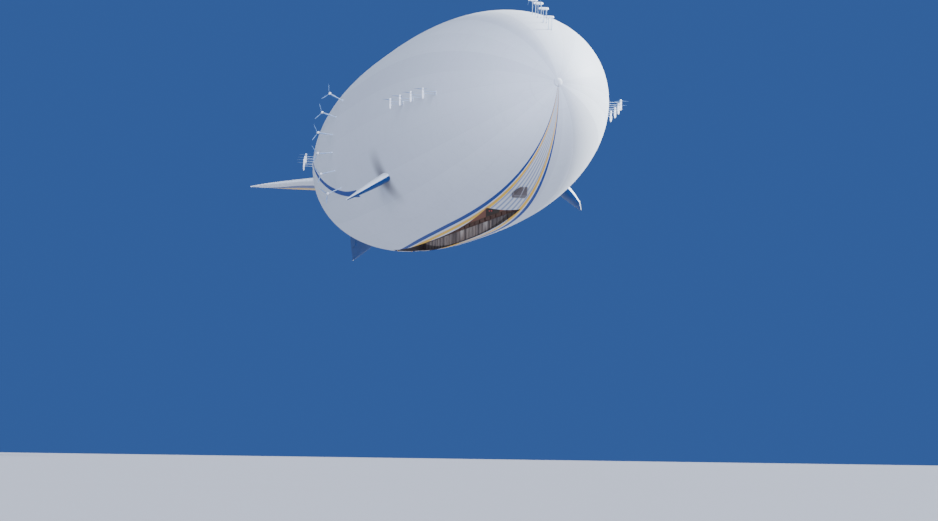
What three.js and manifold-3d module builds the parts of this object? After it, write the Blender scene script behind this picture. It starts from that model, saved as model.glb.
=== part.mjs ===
// A rigid cargo airship at one tenth of its real size.
// Millimetres. +X points to the nose, +Y to port and +Z up. The origin is on the hull's axis at
// its thickest station, where the model is held up in the air.
import * as THREE from 'three';
import { mergeVertices } from 'three/addons/utils/BufferGeometryUtils.js';
import { ConvexGeometry } from 'three/addons/geometries/ConvexGeometry.js';
import Module from 'manifold-3d';

const wasm = await Module();
wasm.setup();

// Clearances
const SEAT_GAP = 0.3;
const MOVING_GAP = 5;

// Hull: a body of revolution, blunter ahead of the thickest station than behind it
const HULL_RADIUS = 2090;
const FORE_LENGTH = 7810;
const FORE_POWER = 2.98;
const AFT_LENGTH = 7570;
const AFT_POWER = 2.237;
const SKIN_THICKNESS = 10;
const HULL_SIDES = 48;
const STATIONS_PER_HALF = 12;

// Freight hold, open below through a slot in the belly
const HOLD_FRONT = 4650;
const HOLD_REAR = -2850;
const HOLD_HALF_WIDTH = 400;
const HOLD_ROOF = -1350;
const HOLD_WALL = 8;
const SLOT_HALF_WIDTH = 325;
const BEAM_TOP = -1710;
const BEAM_HEIGHT = 80;
const BEAM_DEPTH = 20;
const GANTRY_RAIL_Y = 220;
const GANTRY_RAIL_SIZE = 40;
const GANTRY_STATIONS = [-600, 600, 1300, 2500];
const GANTRY_END_GAP = 100;
const DRUM_RADIUS = 30;
const DRUM_LENGTH = 280;
const DRUM_SIDES = 12;

// Cockpit under the belly, ahead of the hold
const COCKPIT_X = 5690;
const COCKPIT_HALF_LENGTH = 215;
const COCKPIT_HALF_WIDTH = 135;
const COCKPIT_DROP = 70;
const COCKPIT_GLASS = 6;
const COCKPIT_SIDES = 16;
const COCKPIT_RINGS = 10;
// The cabin's opening is this share of the glazing's length and width
const COCKPIT_SHARE = 0.68;
const CABIN_RIM = 26;
const CABIN_HEIGHT = 130;
const CABIN_WALL = 6;

// Nose cap and tail cone
const NOSE_CAP_RADIUS = 75;
const NOSE_FACE_RADIUS = 60;
const NOSE_CAP_LENGTH = 14;
const NOSE_CAP_SIDES = 16;
const TAIL_CONE_FRONT = -7250;
const TAIL_CONE_REAR = -8720;
const TAIL_CONE_FRONT_RADIUS = 560;
const TAIL_CONE_REAR_RADIUS = 65;
const TAIL_CONE_SIDES = 24;

// Propulsion units
const NACELLE_SIDES = 8;
// Shares of a nacelle's radius at its tail's shoulder and at its propeller end
const NACELLE_TAIL = 0.78;
const NACELLE_NOSE = 0.84;
const SHAFT_RADIUS = 7;
const SHAFT_IN_HUB = 18;
const HUB_RADIUS = 18;
const HUB_LENGTH = 26;
const SPINNER_LENGTH = 16;
const BORE_DEPTH = 20;
const BLADES = 3;
const BLADE_ROOT = 12;
// Blade sections: share of the way from root to tip, chord, thickness and pitch
const BLADE_SECTIONS = [
  { share: 0, chord: 15, thickness: 7, pitchDeg: 42 },
  { share: 0.4, chord: 21, thickness: 4, pitchDeg: 24 },
  { share: 1, chord: 10, thickness: 2, pitchDeg: 12 },
];
const STRUT_WIDTH = 16;
const STRUT_THICKNESS = 9;
const STRUT_SIDES = 6;
const STRUT_IN_HULL = 60;
const PAD_THICKNESS = 5;
const PAD_HALF_WIDTH = 45;
const FLANK_STATIONS = {
  fore: [4450, 4890, 5330, 5770],
  aft: [-3360, -3780, -4200, -4620],
};
const FLANK_STANDOFF = { fore: 240, aft: 200 };
const FLANK = { length: 160, radius: 19, bladeRadius: 155, phaseDeg: 0, struts: [22, 62] };
// The top row stands on upright legs, a little to port of the hull's top line
const TOP_STATIONS = [6130, 6460, 6780, 7090];
const TOP_STANDOFFS = [262, 260, 250, 220];
const TOP_Y = 75;
const TOP = { length: 135, radius: 24, bladeRadius: 155, phaseDeg: 0, struts: [-30, 30] };
const ARC_STATION = -810;
const ARC_STANDOFF = 304;
const ARC_STEP_DEG = 10.3;
const ARC_PAD_MARGIN_DEG = 2;
const ARC_COUNT = 6;
const ARC = { length: 90, radius: 26, bladeRadius: 195, phaseDeg: 60, struts: [0] };

// Lifting fins on the shoulders, 32 degrees below the horizontal
const SHOULDER_FIN_DROP_DEG = 32;

// Fin planforms: station, distance from the hull's axis, chord and greatest thickness,
// from root to tip. The root row lies inside the hull, which trims it.
const SHOULDER_FIN = [
  { front: 2840, span: 1940, chord: 860, thickness: 195 },
  { front: 2750, span: 2200, chord: 730, thickness: 172 },
  { front: 2620, span: 2380, chord: 630, thickness: 145 },
  { front: 2400, span: 2600, chord: 430, thickness: 95 },
  { front: 2030, span: 2785, chord: 80, thickness: 30 },
];
const SIDE_FIN = [
  { front: -6050, span: 60, chord: 2650, thickness: 250 },
  { front: -6680, span: 1250, chord: 2020, thickness: 160 },
  { front: -7680, span: 1950, chord: 1020, thickness: 90 },
  { front: -8010, span: 2150, chord: 670, thickness: 60 },
  { front: -8560, span: 2390, chord: 100, thickness: 24 },
];
const KEEL_FIN = [
  { front: -5350, span: 60, chord: 3030, thickness: 200 },
  { front: -5350, span: 1160, chord: 2990, thickness: 190 },
  { front: -5400, span: 1480, chord: 2800, thickness: 120 },
  { front: -6400, span: 1605, chord: 1720, thickness: 70 },
  { front: -7450, span: 1690, chord: 620, thickness: 50 },
  { front: -7900, span: 1720, chord: 170, thickness: 30 },
];
// Where along the chord a fin has how much of its greatest half thickness
const SECTION = [
  [0, 0],
  [0.03, 0.45],
  [0.12, 0.8],
  [0.32, 1],
  [0.65, 0.66],
  [1, 0.06],
];

// Elevators and rudders at the fins' trailing edges
const SURFACE_REAR = -8750;
const SIDE_SURFACE = { hinge: -8050, inner: 700, outer: 1850, innerRadius: 57, outerRadius: 47 };
const KEEL_SURFACE = { hinge: -7560, inner: 700, outer: 1420, innerRadius: 54, outerRadius: 49 };
const BARREL_SIDES = 16;
const PIN_RADIUS = 8;
const PIN_SIDES = 12;
const PIN_LENGTH = 24;

const finish = (color, roughness, metalness = 0) =>
  new THREE.MeshStandardMaterial({ color, roughness, metalness });
const HULL_WHITE = finish(0xdfe5ee, 0.45);
const FIN_WHITE = finish(0xe6eaf0, 0.45);
const FIN_BLUE = finish(0x24508c, 0.45);
const ELEVATOR_GOLD = finish(0xc8aa6e, 0.45);
const HOLD_GREY = finish(0x56514f, 0.7);
const BEAM_BROWN = finish(0x54382f, 0.6);
const GANTRY_GREY = finish(0x7a7d80, 0.45, 0.6);
const CABIN_GREY = finish(0x3c3f42, 0.7);
const GLASS_DARK = finish(0x3b3d40, 0.1);
const NACELLE_WHITE = finish(0xe8ebf0, 0.4);
const BLADE_GREY = finish(0xb9c4d2, 0.35);

const airship = new THREE.Group();

function addPiece(name, geometry, material, parent = airship) {
  const mesh = new THREE.Mesh(geometry, material);
  mesh.name = name;
  parent.add(mesh);
  return mesh;
}

// A closed solid from a geometry whose matching corners are merged
function solidOf(geometry) {
  const bare = geometry.index ? geometry.toNonIndexed() : geometry.clone();
  bare.deleteAttribute('normal');
  bare.deleteAttribute('uv');
  const merged = mergeVertices(bare, 1e-3);
  const corners = merged.index.array;
  const kept = [];
  for (let i = 0; i < corners.length; i += 3) {
    const [a, b, c] = corners.slice(i, i + 3);
    if (a !== b && b !== c && c !== a) kept.push(a, b, c);
  }
  return new wasm.Manifold(new wasm.Mesh({
    numProp: 3,
    vertProperties: new Float32Array(merged.attributes.position.array),
    triVerts: new Uint32Array(kept),
  }));
}

function geometryOf(solid) {
  const mesh = solid.getMesh();
  const geometry = new THREE.BufferGeometry();
  geometry.setAttribute('position', new THREE.BufferAttribute(mesh.vertProperties, 3));
  geometry.setIndex(new THREE.BufferAttribute(mesh.triVerts, 1));
  return geometry;
}

const join = (solids) => solids.reduce((all, one) => all.add(one));

// Corner radius of a many-sided hole whose flats lie at the given distance from its axis
const cornerRadius = (flatRadius, sides) => flatRadius / Math.cos(Math.PI / sides);

function boxSolid(x0, x1, y0, y1, z0, z1) {
  const box = new THREE.BoxGeometry(x1 - x0, y1 - y0, z1 - z0);
  box.translate((x0 + x1) / 2, (y0 + y1) / 2, (z0 + z1) / 2);
  return solidOf(box);
}

// A solid turned about the X axis, from rows of station and radius, rear to front
function turnedAboutX(rows, sides) {
  const lathe = new THREE.LatheGeometry(
    rows.map(([station, radius]) => new THREE.Vector2(radius, station)), sides);
  lathe.rotateZ(-Math.PI / 2);
  return solidOf(lathe);
}

function hullRadius(x) {
  const share = x > 0 ? (x / FORE_LENGTH) ** FORE_POWER : (-x / AFT_LENGTH) ** AFT_POWER;
  return HULL_RADIUS * Math.sqrt(Math.max(0, 1 - share));
}

// The hull's slope angle at a station: positive where it narrows towards the nose
function hullSlope(x) {
  const step = 1;
  return Math.atan2(hullRadius(x - step) - hullRadius(x + step), 2 * step);
}

// Station and radius rows of the hull, moved outwards by an offset
function hullRows(offset) {
  const rows = [];
  for (let i = -STATIONS_PER_HALF; i <= STATIONS_PER_HALF; i += 1) {
    const turn = (i / STATIONS_PER_HALF) * (Math.PI / 2);
    const station = Math.sin(turn) * (turn > 0 ? FORE_LENGTH : AFT_LENGTH);
    const atEnd = Math.abs(i) === STATIONS_PER_HALF;
    const slope = atEnd ? (Math.sign(i) * Math.PI) / 2 : hullSlope(station);
    const radius = atEnd ? 0 : hullRadius(station) + offset * Math.cos(slope);
    rows.push([station + offset * Math.sin(slope), radius]);
  }
  return rows;
}

const hullSolid = (offset) => turnedAboutX(hullRows(offset), HULL_SIDES);
const hullOutside = hullSolid(0);
const hullKeepOut = hullSolid(SEAT_GAP);
const hullInside = hullSolid(-SKIN_THICKNESS);
const hullInsideKeepIn = hullSolid(-SKIN_THICKNESS - SEAT_GAP);
const padOutside = hullSolid(PAD_THICKNESS);

// Well below and well outside the hull, for cuts that run right through
const BELOW = -2200;
const FAR = 1.2 * HULL_RADIUS;

function cockpitBlister(outset) {
  const ball = new THREE.SphereGeometry(1, COCKPIT_SIDES, COCKPIT_RINGS);
  ball.scale(COCKPIT_HALF_LENGTH + outset, COCKPIT_HALF_WIDTH + outset, COCKPIT_DROP + outset);
  ball.rotateY(-hullSlope(COCKPIT_X));
  ball.translate(COCKPIT_X, 0, -hullRadius(COCKPIT_X));
  return solidOf(ball);
}

// A box over the cockpit's opening, square to the hull there, from one height to another
// above the hull's surface
function cockpitBox(outset, bottom, top) {
  const box = new THREE.BoxGeometry(
    2 * (COCKPIT_SHARE * COCKPIT_HALF_LENGTH + outset),
    2 * (COCKPIT_SHARE * COCKPIT_HALF_WIDTH + outset), top - bottom);
  box.translate(0, 0, (top + bottom) / 2);
  box.rotateY(-hullSlope(COCKPIT_X));
  box.translate(COCKPIT_X, 0, -hullRadius(COCKPIT_X));
  return solidOf(box);
}

function makeHull() {
  const slot = boxSolid(HOLD_REAR, HOLD_FRONT, -SLOT_HALF_WIDTH, SLOT_HALF_WIDTH, BELOW, HOLD_ROOF);
  const window = cockpitBox(-CABIN_WALL, -CABIN_HEIGHT, CABIN_HEIGHT);
  const skin = hullOutside.subtract(hullInside).subtract(slot).subtract(window);
  addPiece('envelope', geometryOf(skin), HULL_WHITE);

  const capRear = FORE_LENGTH - NOSE_CAP_RADIUS;
  const capFront = FORE_LENGTH + NOSE_CAP_LENGTH;
  const cap = turnedAboutX([
    [capRear, 0],
    [capRear, NOSE_CAP_RADIUS],
    [capFront, NOSE_FACE_RADIUS],
    [capFront, 0],
  ], NOSE_CAP_SIDES).subtract(hullKeepOut);
  addPiece('nose_cap', geometryOf(cap), HULL_WHITE);
}

function tailCone(outset) {
  return turnedAboutX([
    [TAIL_CONE_REAR - outset, 0],
    [TAIL_CONE_REAR - outset, TAIL_CONE_REAR_RADIUS + outset],
    [TAIL_CONE_FRONT, TAIL_CONE_FRONT_RADIUS + outset],
    [TAIL_CONE_FRONT, 0],
  ], TAIL_CONE_SIDES);
}

function makeHold() {
  const outer = boxSolid(
    HOLD_REAR - HOLD_WALL, HOLD_FRONT + HOLD_WALL,
    -HOLD_HALF_WIDTH - HOLD_WALL, HOLD_HALF_WIDTH + HOLD_WALL,
    BELOW, HOLD_ROOF + HOLD_WALL);
  const room = boxSolid(
    HOLD_REAR, HOLD_FRONT, -HOLD_HALF_WIDTH, HOLD_HALF_WIDTH, BELOW - HOLD_WALL, HOLD_ROOF);
  const hold = outer.subtract(room).intersect(hullInsideKeepIn);
  addPiece('cargo_hold', geometryOf(hold), HOLD_GREY);

  for (const [side, sign] of [['port', 1], ['starboard', -1]]) {
    const beam = new THREE.BoxGeometry(HOLD_FRONT - HOLD_REAR - 2 * SEAT_GAP, BEAM_DEPTH, BEAM_HEIGHT);
    const mesh = addPiece(`hold_beam_${side}`, beam, BEAM_BROWN);
    mesh.position.set(
      (HOLD_FRONT + HOLD_REAR) / 2,
      sign * (HOLD_HALF_WIDTH - SEAT_GAP - BEAM_DEPTH / 2),
      BEAM_TOP - BEAM_HEIGHT / 2);
  }

  const railTop = HOLD_ROOF - SEAT_GAP;
  const railBottom = railTop - GANTRY_RAIL_SIZE;
  const halfRail = GANTRY_RAIL_SIZE / 2;
  const gantry = [-1, 1].map((sign) => boxSolid(
    HOLD_REAR + GANTRY_END_GAP, HOLD_FRONT - GANTRY_END_GAP,
    sign * GANTRY_RAIL_Y - halfRail, sign * GANTRY_RAIL_Y + halfRail, railBottom, railTop));
  for (const station of GANTRY_STATIONS) {
    gantry.push(boxSolid(
      station - halfRail, station + halfRail, -GANTRY_RAIL_Y, GANTRY_RAIL_Y, railBottom, railTop));
    const drum = new THREE.CylinderGeometry(DRUM_RADIUS, DRUM_RADIUS, DRUM_LENGTH, DRUM_SIDES);
    drum.translate(station, 0, railBottom - DRUM_RADIUS / 2);
    gantry.push(solidOf(drum));
  }
  addPiece('hoist_gantry', geometryOf(join(gantry)), GANTRY_GREY);
}

function makeCockpit() {
  const cabin = cockpitBox(0, CABIN_RIM, CABIN_HEIGHT)
    .subtract(cockpitBox(-CABIN_WALL, 0, CABIN_HEIGHT - CABIN_WALL));
  addPiece('cockpit_cabin', geometryOf(cabin), CABIN_GREY);
  const glass = cockpitBlister(0).subtract(cockpitBlister(-COCKPIT_GLASS)).subtract(hullKeepOut);
  addPiece('cockpit_glazing', geometryOf(glass), GLASS_DARK);
}

// Corner points of one fin section. The chord runs towards -X, the span along +Z and the
// thickness along Y.
function finSection({ front, span, chord, thickness }) {
  const points = [];
  for (const [along, fullness] of SECTION) {
    for (const side of [-1, 1]) {
      points.push(new THREE.Vector3(
        front - along * chord, (side * fullness * thickness) / 2, span));
    }
  }
  return points;
}

const finSolid = (rows) => solidOf(new ConvexGeometry(rows.flatMap(finSection)));

// The moving surface, its hinge pins, and the notch and pin holes that it needs in its fin
function surfaceSolids(fin, { hinge, inner, outer, innerRadius, outerRadius }) {
  const span = outer - inner;
  const round = (outerEnd, innerEnd, sides, reach) => {
    const shape = new THREE.CylinderGeometry(outerEnd, innerEnd, span + 2 * reach, sides);
    shape.rotateX(Math.PI / 2);
    shape.translate(hinge, 0, (inner + outer) / 2);
    return solidOf(shape);
  };
  const behind = (reach) => boxSolid(
    SURFACE_REAR, hinge, -HULL_RADIUS, HULL_RADIUS, inner - reach, outer + reach);
  const wide = (radius) => cornerRadius(radius + MOVING_GAP, BARREL_SIDES);
  const holeRadius = cornerRadius(PIN_RADIUS + SEAT_GAP, PIN_SIDES);
  return {
    surface: fin.intersect(behind(0))
      .add(round(outerRadius, innerRadius, BARREL_SIDES, 0))
      .add(round(PIN_RADIUS, PIN_RADIUS, PIN_SIDES, PIN_LENGTH)),
    cut: round(wide(outerRadius), wide(innerRadius), BARREL_SIDES, MOVING_GAP)
      .add(behind(MOVING_GAP))
      .add(round(holeRadius, holeRadius, PIN_SIDES, PIN_LENGTH + 1)),
  };
}

function makeFins() {
  const cone = tailCone(SEAT_GAP);
  addPiece('tail_cone', geometryOf(tailCone(0).subtract(hullKeepOut)), HULL_WHITE);

  // Turn about the X axis that carries +Z to where the fin points
  const tailFins = [
    { name: 'dorsal', rows: KEEL_FIN, surface: 'rudder_dorsal', size: KEEL_SURFACE, turn: 0 },
    { name: 'port', rows: SIDE_FIN, surface: 'elevator_port', size: SIDE_SURFACE, turn: -90 },
    { name: 'ventral', rows: KEEL_FIN, surface: 'rudder_ventral', size: KEEL_SURFACE, turn: 180 },
    { name: 'starboard', rows: SIDE_FIN, surface: 'elevator_starboard', size: SIDE_SURFACE, turn: 90 },
  ];
  for (const { name, rows, surface, size, turn } of tailFins) {
    const blank = finSolid(rows);
    const moving = surfaceSolids(blank, size);
    const placed = blank.subtract(moving.cut).rotate([turn, 0, 0]);
    const keel = rows === KEEL_FIN;
    addPiece(`tail_fin_${name}`, geometryOf(placed.subtract(hullKeepOut).subtract(cone)),
      keel ? FIN_BLUE : FIN_WHITE);
    addPiece(surface, geometryOf(moving.surface.rotate([turn, 0, 0])),
      keel ? FIN_BLUE : ELEVATOR_GOLD);
  }

  for (const [side, sign] of [['port', -1], ['starboard', 1]]) {
    const placed = finSolid(SHOULDER_FIN).rotate([sign * (90 + SHOULDER_FIN_DROP_DEG), 0, 0]);
    addPiece(`shoulder_fin_${side}`, geometryOf(placed.subtract(hullKeepOut)), FIN_WHITE);
  }
}

// A propeller whose shaft comes in from below along +Z, with its back face at zero
function propellerGeometry({ bladeRadius, phaseDeg }) {
  const boreRadius = cornerRadius(SHAFT_RADIUS + SEAT_GAP, NACELLE_SIDES);
  const hub = new THREE.LatheGeometry([
    new THREE.Vector2(0, BORE_DEPTH),
    new THREE.Vector2(boreRadius, BORE_DEPTH),
    new THREE.Vector2(boreRadius, 0),
    new THREE.Vector2(HUB_RADIUS, 0),
    new THREE.Vector2(HUB_RADIUS, HUB_LENGTH),
    new THREE.Vector2(0, HUB_LENGTH + SPINNER_LENGTH),
  ], NACELLE_SIDES);
  hub.rotateX(Math.PI / 2);
  const corners = BLADE_SECTIONS.map(({ share, chord, thickness, pitchDeg }) => {
    const pitch = THREE.MathUtils.degToRad(pitchDeg);
    return [[1, 1], [1, -1], [-1, -1], [-1, 1]].map(([along, over]) => {
      const flat = new THREE.Vector2((along * chord) / 2, (over * thickness) / 2);
      flat.rotateAround(new THREE.Vector2(0, 0), pitch);
      const reach = BLADE_ROOT + share * (bladeRadius - BLADE_ROOT);
      return new THREE.Vector3(reach, flat.x, HUB_LENGTH / 2 + flat.y);
    });
  });
  const inner = solidOf(new ConvexGeometry([...corners[0], ...corners[1]]));
  const outer = solidOf(new ConvexGeometry([...corners[1], ...corners[2]]));
  const blade = inner.add(outer);
  let propeller = solidOf(hub);
  for (let i = 0; i < BLADES; i += 1) {
    propeller = propeller.add(blade.rotate([0, 0, phaseDeg + (360 / BLADES) * i]));
  }
  return geometryOf(propeller);
}

// A nacelle along +Z with its shaft, and the struts that reach back towards -X
function unitGeometries({ length, radius, struts }, standoff) {
  const half = length / 2;
  const strutLength = standoff + STRUT_IN_HULL;
  const nacelle = new THREE.LatheGeometry([
    new THREE.Vector2(0, -half),
    new THREE.Vector2(radius * NACELLE_TAIL, -half * NACELLE_TAIL),
    new THREE.Vector2(radius, 0),
    new THREE.Vector2(radius * NACELLE_NOSE, half),
    new THREE.Vector2(SHAFT_RADIUS, half),
    new THREE.Vector2(SHAFT_RADIUS, half + MOVING_GAP + SHAFT_IN_HUB),
    new THREE.Vector2(0, half + MOVING_GAP + SHAFT_IN_HUB),
  ], NACELLE_SIDES);
  nacelle.rotateX(Math.PI / 2);
  const strutShapes = struts.map((height) => {
    const strut = new THREE.CylinderGeometry(1, 1, strutLength, STRUT_SIDES);
    strut.scale(STRUT_WIDTH / 2, 1, STRUT_THICKNESS / 2);
    strut.rotateZ(Math.PI / 2);
    strut.translate(-strutLength / 2, 0, height);
    return strut;
  });
  return [nacelle, ...strutShapes];
}

// Places of the units: the nacelle's centre, which way is out and where the shaft points
function rowOfUnits(row) {
  const places = [];
  if (row.kind === FLANK) {
    for (const x of row.stations) {
      places.push({
        centre: new THREE.Vector3(x, row.sign * (hullRadius(x) + row.standoff), 0),
        out: new THREE.Vector3(0, row.sign, 0),
        shaft: new THREE.Vector3(0, 0, 1),
      });
    }
  }
  if (row.kind === TOP) {
    row.stations.forEach((x, index) => {
      places.push({
        centre: new THREE.Vector3(x, TOP_Y, hullRadius(x) + row.standoffs[index]),
        out: new THREE.Vector3(0, 0, 1),
        shaft: new THREE.Vector3(0, -1, 0),
      });
    });
  }
  if (row.kind === ARC) {
    for (let i = 0; i < ARC_COUNT; i += 1) {
      const rise = THREE.MathUtils.degToRad(((ARC_COUNT - 1) / 2 - i) * ARC_STEP_DEG);
      const out = new THREE.Vector3(0, row.sign * Math.cos(rise), Math.sin(rise));
      places.push({
        centre: out.clone().multiplyScalar(hullRadius(ARC_STATION) + row.standoff).setX(ARC_STATION),
        out,
        shaft: new THREE.Vector3(-1, 0, 0),
      });
    }
  }
  return places;
}

// The strip of load pads that the struts of one row stand on
function padStrip(row) {
  if (row.kind === ARC) {
    const reach = THREE.MathUtils.degToRad(((ARC_COUNT - 1) / 2) * ARC_STEP_DEG + ARC_PAD_MARGIN_DEG);
    const corners = [];
    for (const x of [ARC_STATION - PAD_HALF_WIDTH, ARC_STATION + PAD_HALF_WIDTH]) {
      corners.push(new THREE.Vector3(x, 0, 0));
      for (const part of [-1, -0.5, 0, 0.5, 1]) {
        corners.push(new THREE.Vector3(
          x, row.sign * FAR * Math.cos(part * reach), FAR * Math.sin(part * reach)));
      }
    }
    return padOutside.intersect(solidOf(new ConvexGeometry(corners)));
  }
  const x0 = Math.min(...row.stations) - PAD_HALF_WIDTH;
  const x1 = Math.max(...row.stations) + PAD_HALF_WIDTH;
  const [low, high] = row.kind === TOP
    ? [TOP_Y, TOP_Y] : [Math.min(...FLANK.struts), Math.max(...FLANK.struts)];
  const [from, to] = [low - PAD_HALF_WIDTH, high + PAD_HALF_WIDTH];
  const strip = row.kind === TOP
    ? boxSolid(x0, x1, from, to, 0, FAR)
    : boxSolid(x0, x1, Math.min(0, row.sign * FAR), Math.max(0, row.sign * FAR), from, to);
  return padOutside.intersect(strip);
}

function makePropulsion() {
  const rows = [
    { name: 'top', kind: TOP, stations: TOP_STATIONS, standoffs: TOP_STANDOFFS },
  ];
  for (const [side, sign] of [['port', 1], ['starboard', -1]]) {
    for (const end of ['fore', 'aft']) {
      rows.push({
        name: `${end}_${side}`, kind: FLANK, stations: FLANK_STATIONS[end],
        standoff: FLANK_STANDOFF[end], sign,
      });
    }
    rows.push({ name: `arc_${side}`, kind: ARC, standoff: ARC_STANDOFF, sign });
  }
  const propellers = new Map([FLANK, TOP, ARC].map(
    (kind) => [kind, propellerGeometry(kind)]));

  for (const row of rows) {
    const places = rowOfUnits(row);
    const solids = [padStrip(row)];
    places.forEach(({ centre, out, shaft }, index) => {
      const across = new THREE.Vector3().crossVectors(shaft, out);
      const basis = new THREE.Matrix4().makeBasis(out, across, shaft).setPosition(centre);
      const standoff = row.standoff ?? row.standoffs[index];
      for (const shape of unitGeometries(row.kind, standoff)) {
        solids.push(solidOf(shape.applyMatrix4(basis)));
      }
      const mount = new THREE.Group();
      mount.applyMatrix4(basis);
      airship.add(mount);
      const propeller = addPiece(
        `propeller_${row.name}_${index + 1}`, propellers.get(row.kind), BLADE_GREY, mount);
      propeller.position.z = row.kind.length / 2 + MOVING_GAP;
    });
    addPiece(`pylons_${row.name}`, geometryOf(join(solids).subtract(hullKeepOut)), NACELLE_WHITE);
  }
}

makeHull();
makeHold();
makeCockpit();
makeFins();
makePropulsion();

export default airship;
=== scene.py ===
import logging
import math
from contextlib import contextmanager
from dataclasses import astuple, dataclass
from enum import Enum
from functools import cache, partialmethod
from typing import Callable, Iterable, Iterator, Sequence

import bmesh
import bpy
from mathutils import Matrix, Vector


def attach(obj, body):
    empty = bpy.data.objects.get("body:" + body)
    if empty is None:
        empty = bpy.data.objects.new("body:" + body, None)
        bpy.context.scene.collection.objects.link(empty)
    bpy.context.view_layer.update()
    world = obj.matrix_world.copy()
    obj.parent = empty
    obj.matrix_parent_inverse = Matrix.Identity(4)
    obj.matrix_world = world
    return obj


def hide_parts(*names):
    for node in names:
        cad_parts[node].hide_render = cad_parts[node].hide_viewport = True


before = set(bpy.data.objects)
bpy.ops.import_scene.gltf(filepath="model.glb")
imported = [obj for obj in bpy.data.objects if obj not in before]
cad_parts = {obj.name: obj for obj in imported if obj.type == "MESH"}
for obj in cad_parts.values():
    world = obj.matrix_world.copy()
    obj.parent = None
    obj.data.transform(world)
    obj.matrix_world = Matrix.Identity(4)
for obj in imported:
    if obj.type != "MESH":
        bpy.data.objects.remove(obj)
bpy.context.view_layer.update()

log = logging.getLogger("airship")

Colour = tuple[int, int, int]
Row = tuple[float, float]
Triple = tuple[float, float, float]
Section = tuple[float, float, float, float]
Piece = bpy.types.Object
Material = bpy.types.Material
Node = bpy.types.Node
Tree = bpy.types.NodeTree
Socket = bpy.types.NodeSocket
Value = float | Socket

MM = 0.001
AXIS_X = Vector((1, 0, 0))
AXIS_Y = Vector((0, 1, 0))
AXIS_Z = Vector((0, 0, 1))


class Side(Enum):
    """A side of the ship, with the sign of its Y."""

    PORT = 1
    STARBOARD = -1

    @property
    def word(self) -> str:
        """The side's name as the frame's nodes spell it."""
        return self.name.lower()


class Pick(Enum):
    """What a selection is made of."""

    POINTS = "VERT"
    FACES = "FACE"


class Cut(Enum):
    """How one closed solid works on another."""

    JOIN = "UNION"
    TAKE_AWAY = "DIFFERENCE"
    KEEP_COMMON = "INTERSECT"


@dataclass(frozen=True)
class Spot:
    """Where a point or face lies, and which way it faces."""

    place: Vector
    facing: Vector


Test = Callable[[Spot], bool]


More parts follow.
